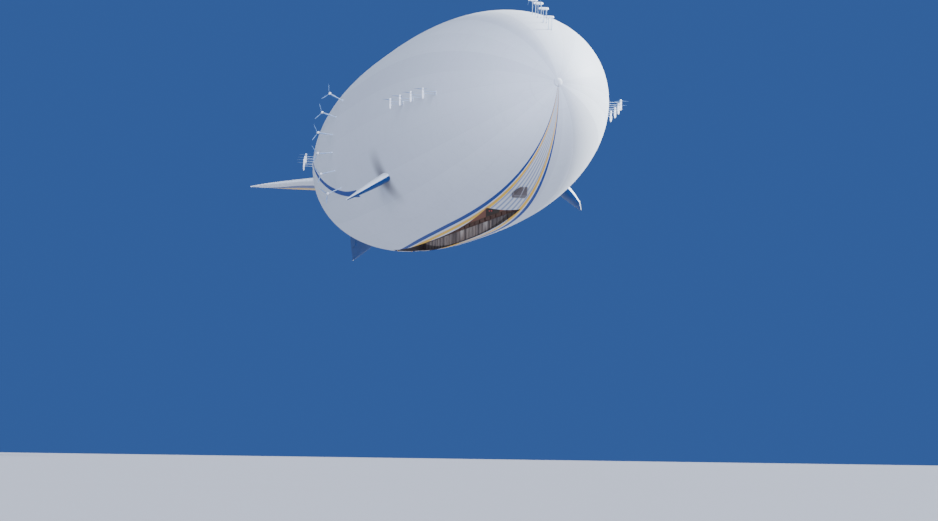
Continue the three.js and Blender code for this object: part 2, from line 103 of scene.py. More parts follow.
class Bench:
    """The modelling bench: every shape starts from a primitive and is worked in edit mode."""

    @staticmethod
    def take(*pieces: Piece) -> None:
        """Selects some pieces and no others, and makes the first one active.

        Args:
            pieces: the pieces to work on, at least one.
        """
        bpy.ops.object.select_all(action="DESELECT")
        for piece in pieces:
            piece.select_set(True)
        bpy.context.view_layer.objects.active = pieces[0]

    @staticmethod
    @contextmanager
    def editing(piece: Piece) -> Iterator[None]:
        """Holds a piece in edit mode, with nothing selected at the start.

        Args:
            piece: the piece to edit.

        Returns:
            A block in which the piece is in edit mode.
        """
        Bench.take(piece)
        bpy.ops.object.mode_set(mode="EDIT")
        bpy.ops.mesh.select_all(action="DESELECT")
        yield
        bpy.ops.object.mode_set(mode="OBJECT")

    @staticmethod
    def pick(piece: Piece, kind: Pick, test: Test) -> None:
        """Selects the elements of an edited piece that pass a test, and no others.

        Args:
            piece: the piece in edit mode.
            kind: points or faces.
            test: says whether an element at a spot is wanted.
        """
        bpy.ops.mesh.select_mode(type=kind.value)
        bpy.ops.mesh.select_all(action="DESELECT")
        mesh = bmesh.from_edit_mesh(piece.data)
        if kind is Pick.POINTS:
            spots = [(v, Spot(v.co, v.normal)) for v in mesh.verts]
        else:
            spots = [(f, Spot(f.calc_center_median(), f.normal)) for f in mesh.faces]
        for element, spot in spots:
            if test(spot):
                element.select_set(True)
        mesh.select_flush_mode()
        bmesh.update_edit_mesh(piece.data)

    @staticmethod
    def pick_all(kind: Pick | None = None) -> None:
        """Selects all of the edited piece.

        Args:
            kind: points or faces, or None where the last choice stays.
        """
        if kind:
            bpy.ops.mesh.select_mode(type=kind.value)
        bpy.ops.mesh.select_all(action="SELECT")

    @staticmethod
    def face_out() -> None:
        """Turns all faces of the edited piece outward."""
        Bench.pick_all()
        bpy.ops.mesh.normals_make_consistent(inside=False)

    @staticmethod
    def draw_out(way: Sequence[float]) -> None:
        """Draws the selected faces out of the edited piece."""
        bpy.ops.mesh.extrude_region_move(TRANSFORM_OT_translate={"value": way})

    @staticmethod
    def slice(place: Vector, normal: Vector) -> None:
        """Cuts the selected faces of the edited piece along a plane, taking nothing away."""
        bpy.ops.mesh.bisect(plane_co=place, plane_no=normal, use_fill=False,
                            clear_inner=False, clear_outer=False)

    @staticmethod
    def slice_all(axis: Vector, places: Iterable[float]) -> None:
        """Cuts all of the edited piece across an axis.

        Args:
            axis: the direction that the cuts stand across.
            places: where they go through the axis.
        """
        for place in places:
            Bench.pick_all()
            Bench.slice(axis * place, axis)

    @staticmethod
    def named(name: str) -> Piece:
        """Names the primitive that was just added, its mesh too.

        Args:
            name: the piece's plain name.

        Returns:
            The new piece.
        """
        piece = bpy.context.object
        piece.name = name
        piece.data.name = name
        return piece

    @staticmethod
    def settle(piece: Piece, placed: Matrix | None = None) -> Piece:
        """Sets a piece in its place and puts that place into its mesh.

        Args:
            piece: the piece.
            placed: where it goes, or None where it stands there already.

        Returns:
            The same piece.
        """
        if placed is not None:
            piece.matrix_world = placed
        Bench.take(piece)
        bpy.ops.object.transform_apply(location=True, rotation=True, scale=True)
        return piece

    @staticmethod
    def box(name: str, low: Sequence[float], high: Sequence[float]) -> Piece:
        """Adds a box between two corners.

        Args:
            name: the piece's plain name.
            low: its lowest corner.
            high: its highest corner.

        Returns:
            The new piece.
        """
        size = [b - a for a, b in zip(low, high)]
        middle = [(a + b) / 2 for a, b in zip(low, high)]
        bpy.ops.mesh.primitive_cube_add(size=1, location=middle, scale=size)
        return Bench.settle(Bench.named(name))

    @staticmethod
    def turned(name: str, rows: Sequence[Row], steps: int) -> Piece:
        """Spins an outline about the X axis, from a single point that is drawn out.

        Args:
            name: the piece's plain name.
            rows: station and radius of each outline point, rear to front.
            steps: how many steps the full turn takes.

        Returns:
            The new piece, closed where the outline meets the axis, with faces outward.
        """
        bpy.ops.mesh.primitive_plane_add(size=MM)
        piece = Bench.named(name)
        here = Vector((rows[0][0], 0, rows[0][1]))
        with Bench.editing(piece):
            Bench.pick_all(Pick.POINTS)
            bpy.ops.mesh.merge(type="CENTER")
            bpy.ops.transform.translate(value=here)
            for station, radius in rows[1:]:
                there = Vector((station, 0, radius))
                bpy.ops.mesh.extrude_vertices_move(TRANSFORM_OT_translate={"value": there - here})
                here = there
            Bench.pick_all()
            bpy.ops.mesh.spin(steps=steps, angle=math.tau, center=(0, 0, 0), axis=AXIS_X)
            Bench.pick_all()
            bpy.ops.mesh.remove_doubles(threshold=0.01 * MM)
            Bench.face_out()
        return piece

    @staticmethod
    def drawn(name: str, sides: int, sections: Sequence[Section]) -> Piece:
        """Draws a round section out along +Z, sized and turned anew at each step.

        Args:
            name: the piece's plain name.
            sides: how many points go round a section.
            sections: height, width along X, width along Y and turn in degrees of each.

        Returns:
            A closed solid.
        """
        bpy.ops.mesh.primitive_circle_add(vertices=sides, radius=0.5, fill_type="NGON")
        piece = Bench.named(name)
        height, width, depth, turn = 0.0, 1.0, 1.0, 0.0
        with Bench.editing(piece):
            Bench.pick_all(Pick.FACES)
            for index, (z, x, y, degrees) in enumerate(sections):
                if index:
                    Bench.draw_out((0, 0, z - height))
                else:
                    bpy.ops.transform.translate(value=(0, 0, z))
                bpy.ops.transform.resize(
                    value=(x / width, y / depth, 1), orient_matrix=Matrix.Rotation(turn, 3, "Z"),
                    orient_type="GLOBAL", orient_matrix_type="GLOBAL", center_override=(0, 0, z))
                twist = math.radians(degrees) - turn
                if twist:
                    bpy.ops.transform.rotate(value=-twist, orient_axis="Z",
                                             center_override=(0, 0, z))
                height, width, depth, turn = z, x, y, math.radians(degrees)
            Bench.face_out()
        return piece

    @staticmethod
    def modify(piece: Piece, kind: str, **settings: object) -> None:
        """Changes a piece by one modifier.

        Args:
            piece: the piece.
            kind: the modifier's type.
            settings: its properties.
        """
        Bench.take(piece)
        modifier = piece.modifiers.new(kind, kind)
        for key, value in settings.items():
            setattr(modifier, key, value)
        bpy.ops.object.modifier_apply(modifier=modifier.name)

    @staticmethod
    def work(piece: Piece, tool: Piece, cut: Cut) -> None:
        """Joins a closed solid to a piece, or cuts the piece with it, and removes the solid."""
        Bench.modify(piece, "BOOLEAN", operation=cut.value, solver="EXACT", object=tool)
        bpy.data.objects.remove(tool)

    @staticmethod
    def copy(piece: Piece, name: str, placed: Matrix) -> Piece:
        """Copies a piece with a mesh of its own and sets the copy in its place.

        Args:
            piece: the modelled piece.
            name: the copy's name.
            placed: where the copy goes.

        Returns:
            The copy, with its place in its mesh.
        """
        Bench.take(piece)
        bpy.ops.object.duplicate(linked=False)
        return Bench.settle(Bench.named(name), placed)

    @staticmethod
    def spread(pattern: Piece, places: Iterable[Matrix]) -> list[Piece]:
        """Copies a pattern to several places and removes it.

        Args:
            pattern: the modelled pattern.
            places: where the copies go.

        Returns:
            The copies.
        """
        copies = [Bench.copy(pattern, "part", placed) for placed in places]
        bpy.data.objects.remove(pattern)
        return copies

    @staticmethod
    def join(name: str, parts: Sequence[Piece]) -> Piece:
        """Joins parts into one piece and keeps their materials.

        Args:
            name: the joined piece's name.
            parts: the parts, at least one.

        Returns:
            The joined piece.
        """
        Bench.take(*parts)
        bpy.ops.object.join()
        return Bench.named(name)

    @staticmethod
    def dress(piece: Piece, *materials: Material) -> Piece:
        """Gives a piece its materials, the first one all over.

        Args:
            piece: the piece.
            materials: the material of each slot.

        Returns:
            The same piece.
        """
        piece.data.materials.clear()
        for material in materials:
            piece.data.materials.append(material)
        return piece

    @staticmethod
    def paint(piece: Piece, slot: int, test: Test) -> None:
        """Gives the faces that pass a test the material of one of the piece's slots.

        Args:
            piece: a dressed piece.
            slot: the slot's number.
            test: says which faces are painted.
        """
        with Bench.editing(piece):
            Bench.pick(piece, Pick.FACES, test)
            piece.active_material_index = slot
            bpy.ops.object.material_slot_assign()

    @staticmethod
    def finish(piece: Piece, body: str, slot: str, replaces: Sequence[str] = (),
               smooth_deg: float = 30) -> None:
        """Smooths a finished piece, sets it on its body and reports it.

        Args:
            piece: the finished piece.
            body: the body that it rides on.
            slot: the name of a material slot; not used.
            replaces: the nodes that it stands for.
            smooth_deg: edges that turn more than this stay crisp.
        """
        Bench.take(piece)
        bpy.ops.object.shade_smooth_by_angle(angle=math.radians(smooth_deg))
        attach(piece, body)
        if replaces:
            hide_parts(*replaces)
        triangles = sum(len(face.vertices) - 2 for face in piece.data.polygons)
        log.info("%s: %d triangles, rides %s", piece.name, triangles, body)


def linear(colour: Colour) -> tuple[float, float, float, float]:
    """Turns a colour from 0 to 255 into the shader's own scale, with a full alpha."""
    parts = [part / 255 for part in colour]
    return (*[((part + 0.055) / 1.055) ** 2.4 for part in parts], 1.0)


class Sums:
    """A node tree whose values are worked out step by step over the surface."""

    def __init__(self, tree: Tree) -> None:
        """Holds the tree that the nodes go into."""
        self.tree = tree

    def node(self, kind: str, **settings: object) -> Node:
        """Adds a node.

        Args:
            kind: the node's type, without the word ShaderNode.
            settings: its properties.

        Returns:
            The new node.
        """
        node = self.tree.nodes.new("ShaderNode" + kind)
        for key, value in settings.items():
            setattr(node, key, value)
        return node

    def feed(self, socket: Socket, value: Value | tuple | Vector) -> None:
        """Links a socket to another, or sets it to a plain value.

        Args:
            socket: the socket that takes it.
            value: the socket to link, or the plain value.
        """
        if isinstance(value, Socket):
            self.tree.links.new(value, socket)
        else:
            socket.default_value = value

    def math(self, operation: str, *values: Value) -> Socket:
        """Adds one step of arithmetic.

        Args:
            operation: the Math node's operation.
            values: its one to three inputs.

        Returns:
            The result.
        """
        node = self.node("Math", operation=operation)
        for socket, value in zip(node.inputs, values):
            self.feed(socket, value)
        return node.outputs[0]

    # The usual steps, each of them math() with its operation given.
    plus = partialmethod(math, "ADD")
    minus = partialmethod(math, "SUBTRACT")
    times = partialmethod(math, "MULTIPLY")
    over = partialmethod(math, "DIVIDE")
    power = partialmethod(math, "POWER")
    larger = partialmethod(math, "MAXIMUM")
    smaller = partialmethod(math, "MINIMUM")
    size = partialmethod(math, "ABSOLUTE")
    root = partialmethod(math, "SQRT")

    def place(self) -> tuple[Socket, Socket, Socket, Socket]:
        """Reads the place on the piece.

        Returns:
            The whole vector, then X, Y and Z.
        """
        vector = self.node("TexCoord").outputs["Object"]
        parts = self.node("SeparateXYZ")
        self.feed(parts.inputs[0], vector)
        return (vector, *parts.outputs)

    def noise(self, vector: Socket, scale: Value, detail: float) -> Socket:
        """Adds soft noise around one half.

        Args:
            vector: where it is read.
            scale: waves in a metre.
            detail: octaves.

        Returns:
            The noise, from about 0.2 to 0.8.
        """
        node = self.node("TexNoise")
        for name, given in (("Vector", vector), ("Scale", scale), ("Detail", detail)):
            self.feed(node.inputs[name], given)
        return node.outputs["Fac"]

    def chance(self, value: Socket) -> Socket:
        """Draws a share from 0 to 1 for each whole number that a value passes.

        Args:
            value: the value, which is rounded down.

        Returns:
            The share.
        """
        node = self.node("TexWhiteNoise", noise_dimensions="1D")
        self.feed(node.inputs["W"], self.math("FLOOR", value))
        return node.outputs["Value"]

    def span(self, value: Value, low: Value, high: Value, from_value: float = 0.0,
             to_value: float = 1.0, smooth: bool = True) -> Socket:
        """Turns a value between two limits into a share.

        Args:
            value: the value.
            low: where the result is from_value.
            high: where the result is to_value.
            from_value: the result at the low limit.
            to_value: the result at the high limit.
            smooth: whether the ends are eased.

        Returns:
            The share, held at its ends outside the limits.
        """
        node = self.node("MapRange", interpolation_type="SMOOTHSTEP" if smooth else "LINEAR")
        for name, given in (("Value", value), ("From Min", low), ("From Max", high),
                            ("To Min", from_value), ("To Max", to_value)):
            self.feed(node.inputs[name], given)
        return node.outputs["Result"]

    def mix(self, share: Value, first: Socket | tuple, second: Socket | tuple) -> Socket:
        """Mixes two colours.

        Args:
            share: how much of the second there is.
            first: the colour at 0.
            second: the colour at 1.

        Returns:
            The mixed colour.
        """
        node = self.node("Mix", data_type="RGBA", clamp_factor=True)
        self.feed(node.inputs[0], share)
        self.feed(node.inputs[6], first)
        self.feed(node.inputs[7], second)
        return node.outputs[2]

    def use(self, group: Tree, **values: Value) -> Node:
        """Places a shared effect.

        Args:
            group: the effect's node group.
            values: its inputs, with underscores for spaces.

        Returns:
            The group node, whose outputs are read by name.
        """
        node = self.node("Group")
        node.node_tree = group
        for key, value in values.items():
            self.feed(node.inputs[key.replace("_", " ")], value)
        return node


class Effect(Sums):
    """A shared effect under construction: a node group with named inputs and outputs."""

    def __init__(self, name: str, inputs: dict[str, float], outputs: Sequence[str]) -> None:
        """Makes the group with its sockets.

        Args:
            name: the effect's plain name.
            inputs: each input and its usual value.
            outputs: the names of its outputs.
        """
        super().__init__(bpy.data.node_groups.new(name, "ShaderNodeTree"))
        for key, value in inputs.items():
            socket = self.tree.interface.new_socket(
                name=key, in_out="INPUT", socket_type="NodeSocketFloat")
            socket.default_value = value
        for key in outputs:
            self.tree.interface.new_socket(
                name=key, in_out="OUTPUT", socket_type="NodeSocketFloat")
        self.given = self.tree.nodes.new("NodeGroupInput").outputs
        self.result = self.tree.nodes.new("NodeGroupOutput").inputs

    def put(self, **values: Value) -> Tree:
        """Links the outputs and hands the group over.

        Args:
            values: each output's value, with underscores for spaces.

        Returns:
            The finished group.
        """
        for key, value in values.items():
            self.feed(self.result[key.replace("_", " ")], value)
        return self.tree


@cache
def hull_places() -> Tree:
    """Builds the effect that says where on the round hull a point lies.

    Returns:
        A group with the station, the degrees away from the belly line on either side, the
        degrees right round from the belly, and the distance from the axis.
    """
    sums = Effect("HullPlaces", {}, ("Station", "From Belly", "Around", "Radius"))
    _, x, y, z = sums.place()
    down = sums.times(z, -1.0)
    around = sums.math("DEGREES", sums.math("ARCTAN2", y, down))
    across = sums.plus(sums.times(y, y), sums.times(z, z))
    return sums.put(Station=x, From_Belly=sums.size(around), Around=around,
                    Radius=sums.root(across))


@cache
def soft_band() -> Tree:
    """Builds the effect of one painted band with slightly soft edges.

    Returns:
        A group whose mask is 1 within the half width of the centre.
    """
    sums = Effect("SoftBand", {"Value": 0, "Centre": 0, "Half Width": 0.1, "Softness": 0.01},
                  ("Mask",))
    away = sums.size(sums.minus(sums.given["Value"], sums.given["Centre"]))
    inner = sums.minus(sums.given["Half Width"], sums.given["Softness"])
    outer = sums.plus(sums.given["Half Width"], sums.given["Softness"])
    return sums.put(Mask=sums.minus(1.0, sums.span(away, inner, outer)))


@cache
def repeated_lines() -> Tree:
    """Builds the effect of lines that repeat at an even spacing.

    Returns:
        A group whose mask is 1 on each line.
    """
    sums = Effect("RepeatedLines",
                  {"Value": 0, "Spacing": 1, "Half Width": 0.1, "Softness": 0.01}, ("Mask",))
    steps = sums.math("ROUND", sums.over(sums.given["Value"], sums.given["Spacing"]))
    nearest = sums.times(steps, sums.given["Spacing"])
    band = sums.use(soft_band(), Value=sums.given["Value"], Centre=nearest,
                    Half_Width=sums.given["Half Width"], Softness=sums.given["Softness"])
    return sums.put(Mask=band.outputs["Mask"])


@cache
def weather() -> Tree:
    """Builds the effect of uneven ageing: broad clouds of tone and finer grime in them.

    Returns:
        A group with a tone around 0 that spans the given strength, and a grime mask.
    """
    sums = Effect("Weather", {"Cloud Scale": 1.5, "Grime Scale": 9, "Strength": 0.1},
                  ("Tone", "Grime"))
    place = sums.place()[0]
    clouds = sums.noise(place, sums.given["Cloud Scale"], detail=4)
    grime = sums.noise(place, sums.given["Grime Scale"], detail=4)
    return sums.put(Tone=sums.times(sums.minus(clouds, 0.5), sums.given["Strength"]),
                    Grime=sums.times(sums.span(grime, 0.5, 0.75), sums.given["Strength"]))


@cache
def grain() -> Tree:
    """Builds the effect of a fine surface grain: a group with a height from 0 to 1."""
    sums = Effect("Grain", {"Scale": 400}, ("Height",))
    return sums.put(Height=sums.noise(sums.place()[0], sums.given["Scale"], detail=2))


class Paintwork(Sums):
    """A material under construction."""

    def __init__(self, name: str) -> None:
        """Makes the material and finds its shader.

        Args:
            name: the material's plain name.
        """
        self.material = bpy.data.materials.new(name)
        self.material.use_nodes = True
        super().__init__(self.material.node_tree)
        self.shader = self.tree.nodes["Principled BSDF"]

    def set(self, **values: Value | tuple) -> None:
        """Sets or links the shader's sockets, with underscores for spaces."""
        for key, value in values.items():
            self.feed(self.shader.inputs[key.replace("_", " ")], value)

    def aged(self, colour: Socket | tuple, strength: float, cloud_scale: float,
             grime_scale: float) -> Socket:
        """Ages a colour: lighter and darker clouds, with grime in them.

        Args:
            colour: the clean colour.
            strength: how strong the ageing is.
            cloud_scale: clouds in a metre.
            grime_scale: grime marks in a metre.

        Returns:
            The aged colour.
        """
        spots = self.use(weather(), Cloud_Scale=cloud_scale, Grime_Scale=grime_scale,
                         Strength=strength)
        scaled = self.node("HueSaturation")
        self.feed(scaled.inputs["Color"], colour)
        self.feed(scaled.inputs["Value"], self.plus(1.0, spots.outputs["Tone"]))
        return self.mix(spots.outputs["Grime"], scaled.outputs["Color"], linear(GRIME))

    def layered(self, colour: Socket | tuple, *layers: tuple[Value, Colour]) -> Socket:
        """Lays paints over a colour, one after another.

        Args:
            colour: the colour below them.
            layers: how much of each paint shows, and its colour.

        Returns:
            The covered colour.
        """
        for share, paint in layers:
            colour = self.mix(share, colour, linear(paint))
        return colour

    def grained(self, scale: float, roughness: float) -> Socket:
        """Gives the surface a fine grain that its roughness follows.

        Args:
            scale: grains in a metre.
            roughness: the middle of its roughness.

        Returns:
            The grain's height, from 0 to 1.
        """
        swing = 0.04
        height = self.use(grain(), Scale=scale).outputs["Height"]
        self.set(Roughness=self.span(height, 0.3, 0.7, roughness - swing, roughness + swing))
        return height

    def bump(self, height: Socket, distance: float, strength: float = 1.0) -> None:
        """Raises the surface.

        Args:
            height: the height from 0 to 1.
            distance: what a height of 1 means in metres.
            strength: how strongly it shows.
        """
        node = self.node("Bump")
        node.inputs["Strength"].default_value = strength
        node.inputs["Distance"].default_value = distance
        self.feed(node.inputs["Height"], height)
        self.set(Normal=node.outputs["Normal"])


GRIME: Colour = (92, 88, 84)
FABRIC: Colour = (211, 216, 224)
GORE: Colour = (188, 192, 202)
PANEL: Colour = (213, 213, 213)
PLEAT_PAINT_SHADE: Colour = (118, 138, 176)
SEAM: Colour = (150, 154, 162)
SHADE: Colour = (124, 121, 124)
WHITE: Colour = (222, 226, 232)
WEB_BROWN: Colour = (146, 94, 82)
BLUE: Colour = (14, 60, 134)
GOLD: Colour = (239, 186, 62)
PANEL_DARK: Colour = (74, 72, 82)
PANEL_PALE: Colour = (190, 181, 174)
RUST: Colour = (150, 112, 96)
LIGHT_POOL: Colour = (236, 232, 230)
DIM: Colour = (64, 66, 78)
ROOF_SHADE: Colour = (60, 58, 62)
OPENING_SHADE: Colour = (26, 26, 34)
LIP_SHADOW: Colour = (44, 36, 42)


@dataclass(frozen=True)
class Finish:
    """An even finish with its grain and ageing."""

    name: str
    colour: Colour
    roughness: float
    metal: float = 0.0
    coat: float = 0.0
    ageing: float = 0.08
    cloud_scale: float = 6.0
    grime_scale: float = 40.0
    grain_scale: float = 500.0
    grain_height: float = 0.05 * MM
    specular: float = 0.5

    def material(self) -> Material:
        """Builds the finish, or finds it if it was built before.

        Returns:
            The material.
        """
        known = bpy.data.materials.get(self.name)
        if known:
            return known
        work = Paintwork(self.name)
        work.set(Base_Color=work.aged(linear(self.colour), self.ageing, self.cloud_scale,
                                      self.grime_scale),
                 Metallic=self.metal, Coat_Weight=self.coat,
                 Specular_IOR_Level=self.specular)
        work.bump(work.grained(self.grain_scale, self.roughness), self.grain_height)
        return work.material


POD_WHITE = Finish("pod_white", (238, 240, 244), roughness=0.3, coat=0.3, ageing=0.05)
STRUT_WHITE = Finish("strut_white", (170, 190, 216), roughness=0.4)
PAD_WHITE = Finish("pad_white", (214, 218, 225), roughness=0.5)
VENT_DARK = Finish("vent_dark", (52, 54, 58), roughness=0.6)
BLADE_GREY = Finish("blade_lacquer", (92, 128, 174), roughness=0.4, coat=0.1)
SPINNER_WHITE = Finish("spinner_white", (236, 238, 242), roughness=0.25, coat=0.4, ageing=0.04)
PIN_STEEL = Finish("pin_steel", (150, 154, 160), roughness=0.3, metal=1.0)
FIN_WHITE = Finish("fin_paint_white", WHITE, roughness=0.5, cloud_scale=2, grime_scale=14,
                   ageing=0.06, specular=0.3)
FIN_BLUE = Finish("fin_paint_blue", (0, 58, 118), roughness=0.5, cloud_scale=2, grime_scale=14,
                  ageing=0.06, specular=0.2)
BEAM_BROWN = Finish("beam_paint", (88, 56, 50), roughness=0.6, ageing=0.25, specular=0.3)
GANTRY_GREY = Finish("gantry_paint", (168, 170, 176), roughness=0.5, metal=0.2, ageing=0.25)
DRUM_STEEL = Finish("drum_steel", (150, 152, 158), roughness=0.45, metal=0.4, ageing=0.2)
CABIN_GREY = Finish("cabin_lining", (96, 90, 88), roughness=0.6)
FRAME_GREY = Finish("glazing_bar", (150, 148, 152), roughness=0.5)


@dataclass(frozen=True)
class Lamp:
    """A lit lens."""

    name: str
    colour: Colour
    strength: float

    def material(self) -> Material:
        """Builds the lens, a little uneven in its glow.

        Returns:
            The material.
        """
        work = Paintwork(self.name)
        height = work.use(grain(), Scale=300.0).outputs["Height"]
        glow = work.mix(work.times(height, 0.25), linear(self.colour), linear((255, 255, 255)))
        work.set(Base_Color=glow, Roughness=0.2, Emission_Color=glow,
                 Emission_Strength=self.strength)
        return work.material

    def lens(self, size: float, rows: Sequence[Row]) -> Piece:
        """Models the lens about the X axis, with its outline given in its own size."""
        lens = Bench.turned("lens", [(x * size, radius * size) for x, radius in rows], steps=20)
        return Bench.dress(lens, self.material())


@dataclass(frozen=True)
class HullForm:
    """The hull's form: a body of revolution, blunter ahead of its thickest station."""

    radius: float = 2.09
    fore_length: float = 7.81
    fore_power: float = 2.98
    aft_length: float = 7.57
    aft_power: float = 2.237
    skin: float = 0.010

    def radius_at(self, x: float) -> float:
        """Gives the hull's radius at a station."""
        share = (x / self.fore_length) ** self.fore_power if x > 0 else (
            (-x / self.aft_length) ** self.aft_power)
        return self.radius * math.sqrt(max(0.0, 1 - share))

    def slope_at(self, x: float) -> float:
        """Gives the hull's slope angle at a station, positive where it narrows forward."""
        step = MM
        return math.atan2(self.radius_at(x - step) - self.radius_at(x + step), 2 * step)

    def rows(self, per_half: int, offset: float = 0.0) -> list[Row]:
        """Gives the outline from the tail to the nose.

        Args:
            per_half: stations in each half, closer together towards the ends.
            offset: how far outside the hull's surface the outline runs.

        Returns:
            Station and radius rows that start and end on the axis.
        """
        rows = []
        for i in range(-per_half, per_half + 1):
            turn = i / per_half * math.pi / 2
            x = math.sin(turn) * (self.fore_length if i > 0 else self.aft_length)
            at_end = abs(i) == per_half
            slope = math.copysign(math.pi / 2, i) if at_end else self.slope_at(x)
            radius = 0.0 if at_end else self.radius_at(x) + offset * math.cos(slope)
            rows.append((x + offset * math.sin(slope), radius))
        return rows

    def body(self, offset: float) -> Piece:
        """Adds the hull's whole body as a closed solid, larger by the offset."""
        return Bench.turned("hull_body", self.rows(40, offset), steps=96)


HULL = HullForm()


@dataclass(frozen=True)
class HullFabric:
    """The hull's coated fabric: white, with belly stripes, pleats and a band on each flank."""

    line_deg: float = 15.2
    line_middle: float = 2.6
    fore_reach: float = 6.765
    fore_power: float = 1.63
    aft_reach: float = 7.0
    aft_power: float = 1.9
    blue_share: float = 0.10
    blue_half_deg: float = 1.3
    gold_place: float = 0.745
    gold_share: float = 0.085
    gold_half_deg: float = 1.1
    stripe_edge_deg: float = 0.05
    least_line_share: float = 0.01
    least_line_deg: float = 0.2
    cut_edge: float = 0.01
    panel_edge: Row = (0.98, 0.94)
    pleat_edge: Row = (0.66, 0.62)
    pleat_spacing: float = 0.24
    pleat_share: float = 0.05
    pleat_edge_share: float = 0.7
    pleat_rear: float = 4.65
    pleat_strength: float = 0.85
    band_front: float = 0.25
    band_flare_rear: float = -0.60
    band_rear: float = -5.6
    band_rear_half_deg: float = 0.2
    band_turn: float = 1.0
    band_low_deg: float = 56.3
    band_rise_deg: float = 28.4
    band_run: float = 4.57
    band_power: float = 2.03
    band_half_deg: float = 1.6
    band_flare_deg: float = 0.7
    band_taper_front: float = -3.0
    band_edge_deg: float = 0.06
    gore_share: float = 0.7
    gore_deg: float = 15.0
    gore_seam: float = 0.25
    gore_seam_edge_deg: float = 0.1
    ring_spacing: float = 0.48
    ring_half_width: float = 4 * MM
    ring_edge: float = 3 * MM
    least_radius: float = 0.05
    seam_strength: float = 0.10
    seam_relief: float = 0.5
    weave_relief: float = 0.15
    relief_height: float = 1.2 * MM
    # Painted shade round the shoulder fins' roots: its centre, core and reach along and round the
    # hull, and its strength.
    root_x: float = 2.42
    root_core: float = 0.05
    root_reach: float = 0.45
    root_deg: float = 58.0
    root_core_deg: float = 2.0
    root_reach_deg: float = 20.0
    root_strength: float = 0.85

    def material(self) -> Material:
        """Builds the fabric.

        Returns:
            The material.
        """
        work = Paintwork("hull_fabric")
        where = work.use(hull_places()).outputs
        station, degrees = where["Station"], where["From Belly"]
        line = self._line(work, station)
        blue = self._stripe(work, degrees, line, (1.0, self.blue_share, self.blue_half_deg))
        gold = self._stripe(work, degrees, line,
                            (self.gold_place, self.gold_share, self.gold_half_deg))
        share = work.over(degrees, work.larger(line, self.least_line_deg))
        ahead = work.span(station, self.pleat_rear - self.cut_edge,
                          self.pleat_rear + self.cut_edge)
        panel = work.times(ahead, work.span(share, *self.panel_edge))
        fold = work.times(self._pleats(work, share),
                          work.times(ahead, work.span(share, *self.pleat_edge)))
        seams = self._seams(work, where)
        gores = work.times(work.chance(work.over(where["Around"], self.gore_deg)),
                           self.gore_share)
        colour = work.layered(
            work.aged(linear(FABRIC), strength=0.05, cloud_scale=0.9, grime_scale=6.0),
            (gores, GORE), (panel, PANEL), (work.times(seams, self.seam_strength), SEAM),
            # The pleats: painted lines of the livery, darkened further as painted shade in the
            # folds.
            (work.times(fold, self.pleat_strength), PLEAT_PAINT_SHADE),
            # Painted shade round the root of each shoulder fin.
            (work.times(self._root_shade(work, station, degrees), self.root_strength), SHADE),
            (gold, GOLD), (blue, BLUE), (self._flank_band(work, station, degrees), BLUE))
        weave = work.grained(scale=260.0, roughness=0.62)
        work.set(Base_Color=colour, Specular_IOR_Level=0.2)
        sunk = work.plus(work.times(seams, self.seam_relief), fold)
        relief = work.minus(work.times(weave, self.weave_relief), sunk)
        work.bump(relief, distance=self.relief_height, strength=0.6)
        return work.material

    def _line(self, work: Paintwork, station: Socket) -> Socket:
        """Works out how far the blue line lies from the belly line.

        Args:
            work: the paintwork.
            station: the place along the hull.

        Returns:
            The distance in degrees.
        """
        away = work.minus(station, self.line_middle)
        fore = work.over(work.larger(away, 0.0), self.fore_reach)
        aft = work.over(work.larger(work.times(away, -1.0), 0.0), self.aft_reach)
        bend = work.plus(work.power(fore, self.fore_power), work.power(aft, self.aft_power))
        share = work.larger(work.minus(1.0, bend), self.least_line_share)
        return work.times(share, self.line_deg)

    def _stripe(self, work: Paintwork, degrees: Socket, line: Socket,
                shares: Triple) -> Socket:
        """Draws one belly stripe on both sides.

        Args:
            work: the paintwork.
            degrees: the degrees away from the belly line.
            line: how far out the blue line lies there.
            shares: the stripe's place and half width as shares of the line, and its most width.

        Returns:
            The stripe's mask.
        """
        place, width, most = shares
        return work.use(soft_band(), Value=degrees, Centre=work.times(line, place),
                        Half_Width=work.smaller(work.times(line, width), most),
                        Softness=self.stripe_edge_deg).outputs["Mask"]

    def _pleats(self, work: Paintwork, share: Socket) -> Socket:
        """Draws the lengthwise pleats of the belly panel, whose colour is a painted line with
        painted shade in it.

        Args:
            work: the paintwork.
            share: the way out from the belly line to the blue line.

        Returns:
            The pleats' mask.
        """
        return work.use(repeated_lines(), Value=work.minus(share, self.pleat_spacing / 2),
                        Spacing=self.pleat_spacing, Half_Width=self.pleat_share,
                        Softness=self.pleat_share * self.pleat_edge_share).outputs["Mask"]

    def _flank_band(self, work: Paintwork, station: Socket, degrees: Socket) -> Socket:
        """Draws the blue band that runs aft from each shoulder fin and rises to the tail.

        Args:
            work: the paintwork.
            station: the place along the hull.
            degrees: the degrees away from the belly line.

        Returns:
            The band's mask.
        """
        run = work.larger(work.minus(self.band_turn, station), 0.0)
        rise = work.power(work.over(run, self.band_run), self.band_power)
        centre = work.plus(self.band_low_deg, work.times(rise, self.band_rise_deg))
        taper = work.span(station, self.band_rear, self.band_taper_front,
                          self.band_rear_half_deg, self.band_half_deg, smooth=False)
        flare = work.span(station, self.band_flare_rear, self.band_front, 0.0,
                          self.band_flare_deg, smooth=False)
        band = work.use(soft_band(), Value=degrees, Centre=centre,
                        Half_Width=work.plus(taper, flare), Softness=self.band_edge_deg)
        behind = work.span(station, self.band_front + 2 * self.cut_edge,
                           self.band_front - 2 * self.cut_edge)
        return work.times(band.outputs["Mask"], behind)

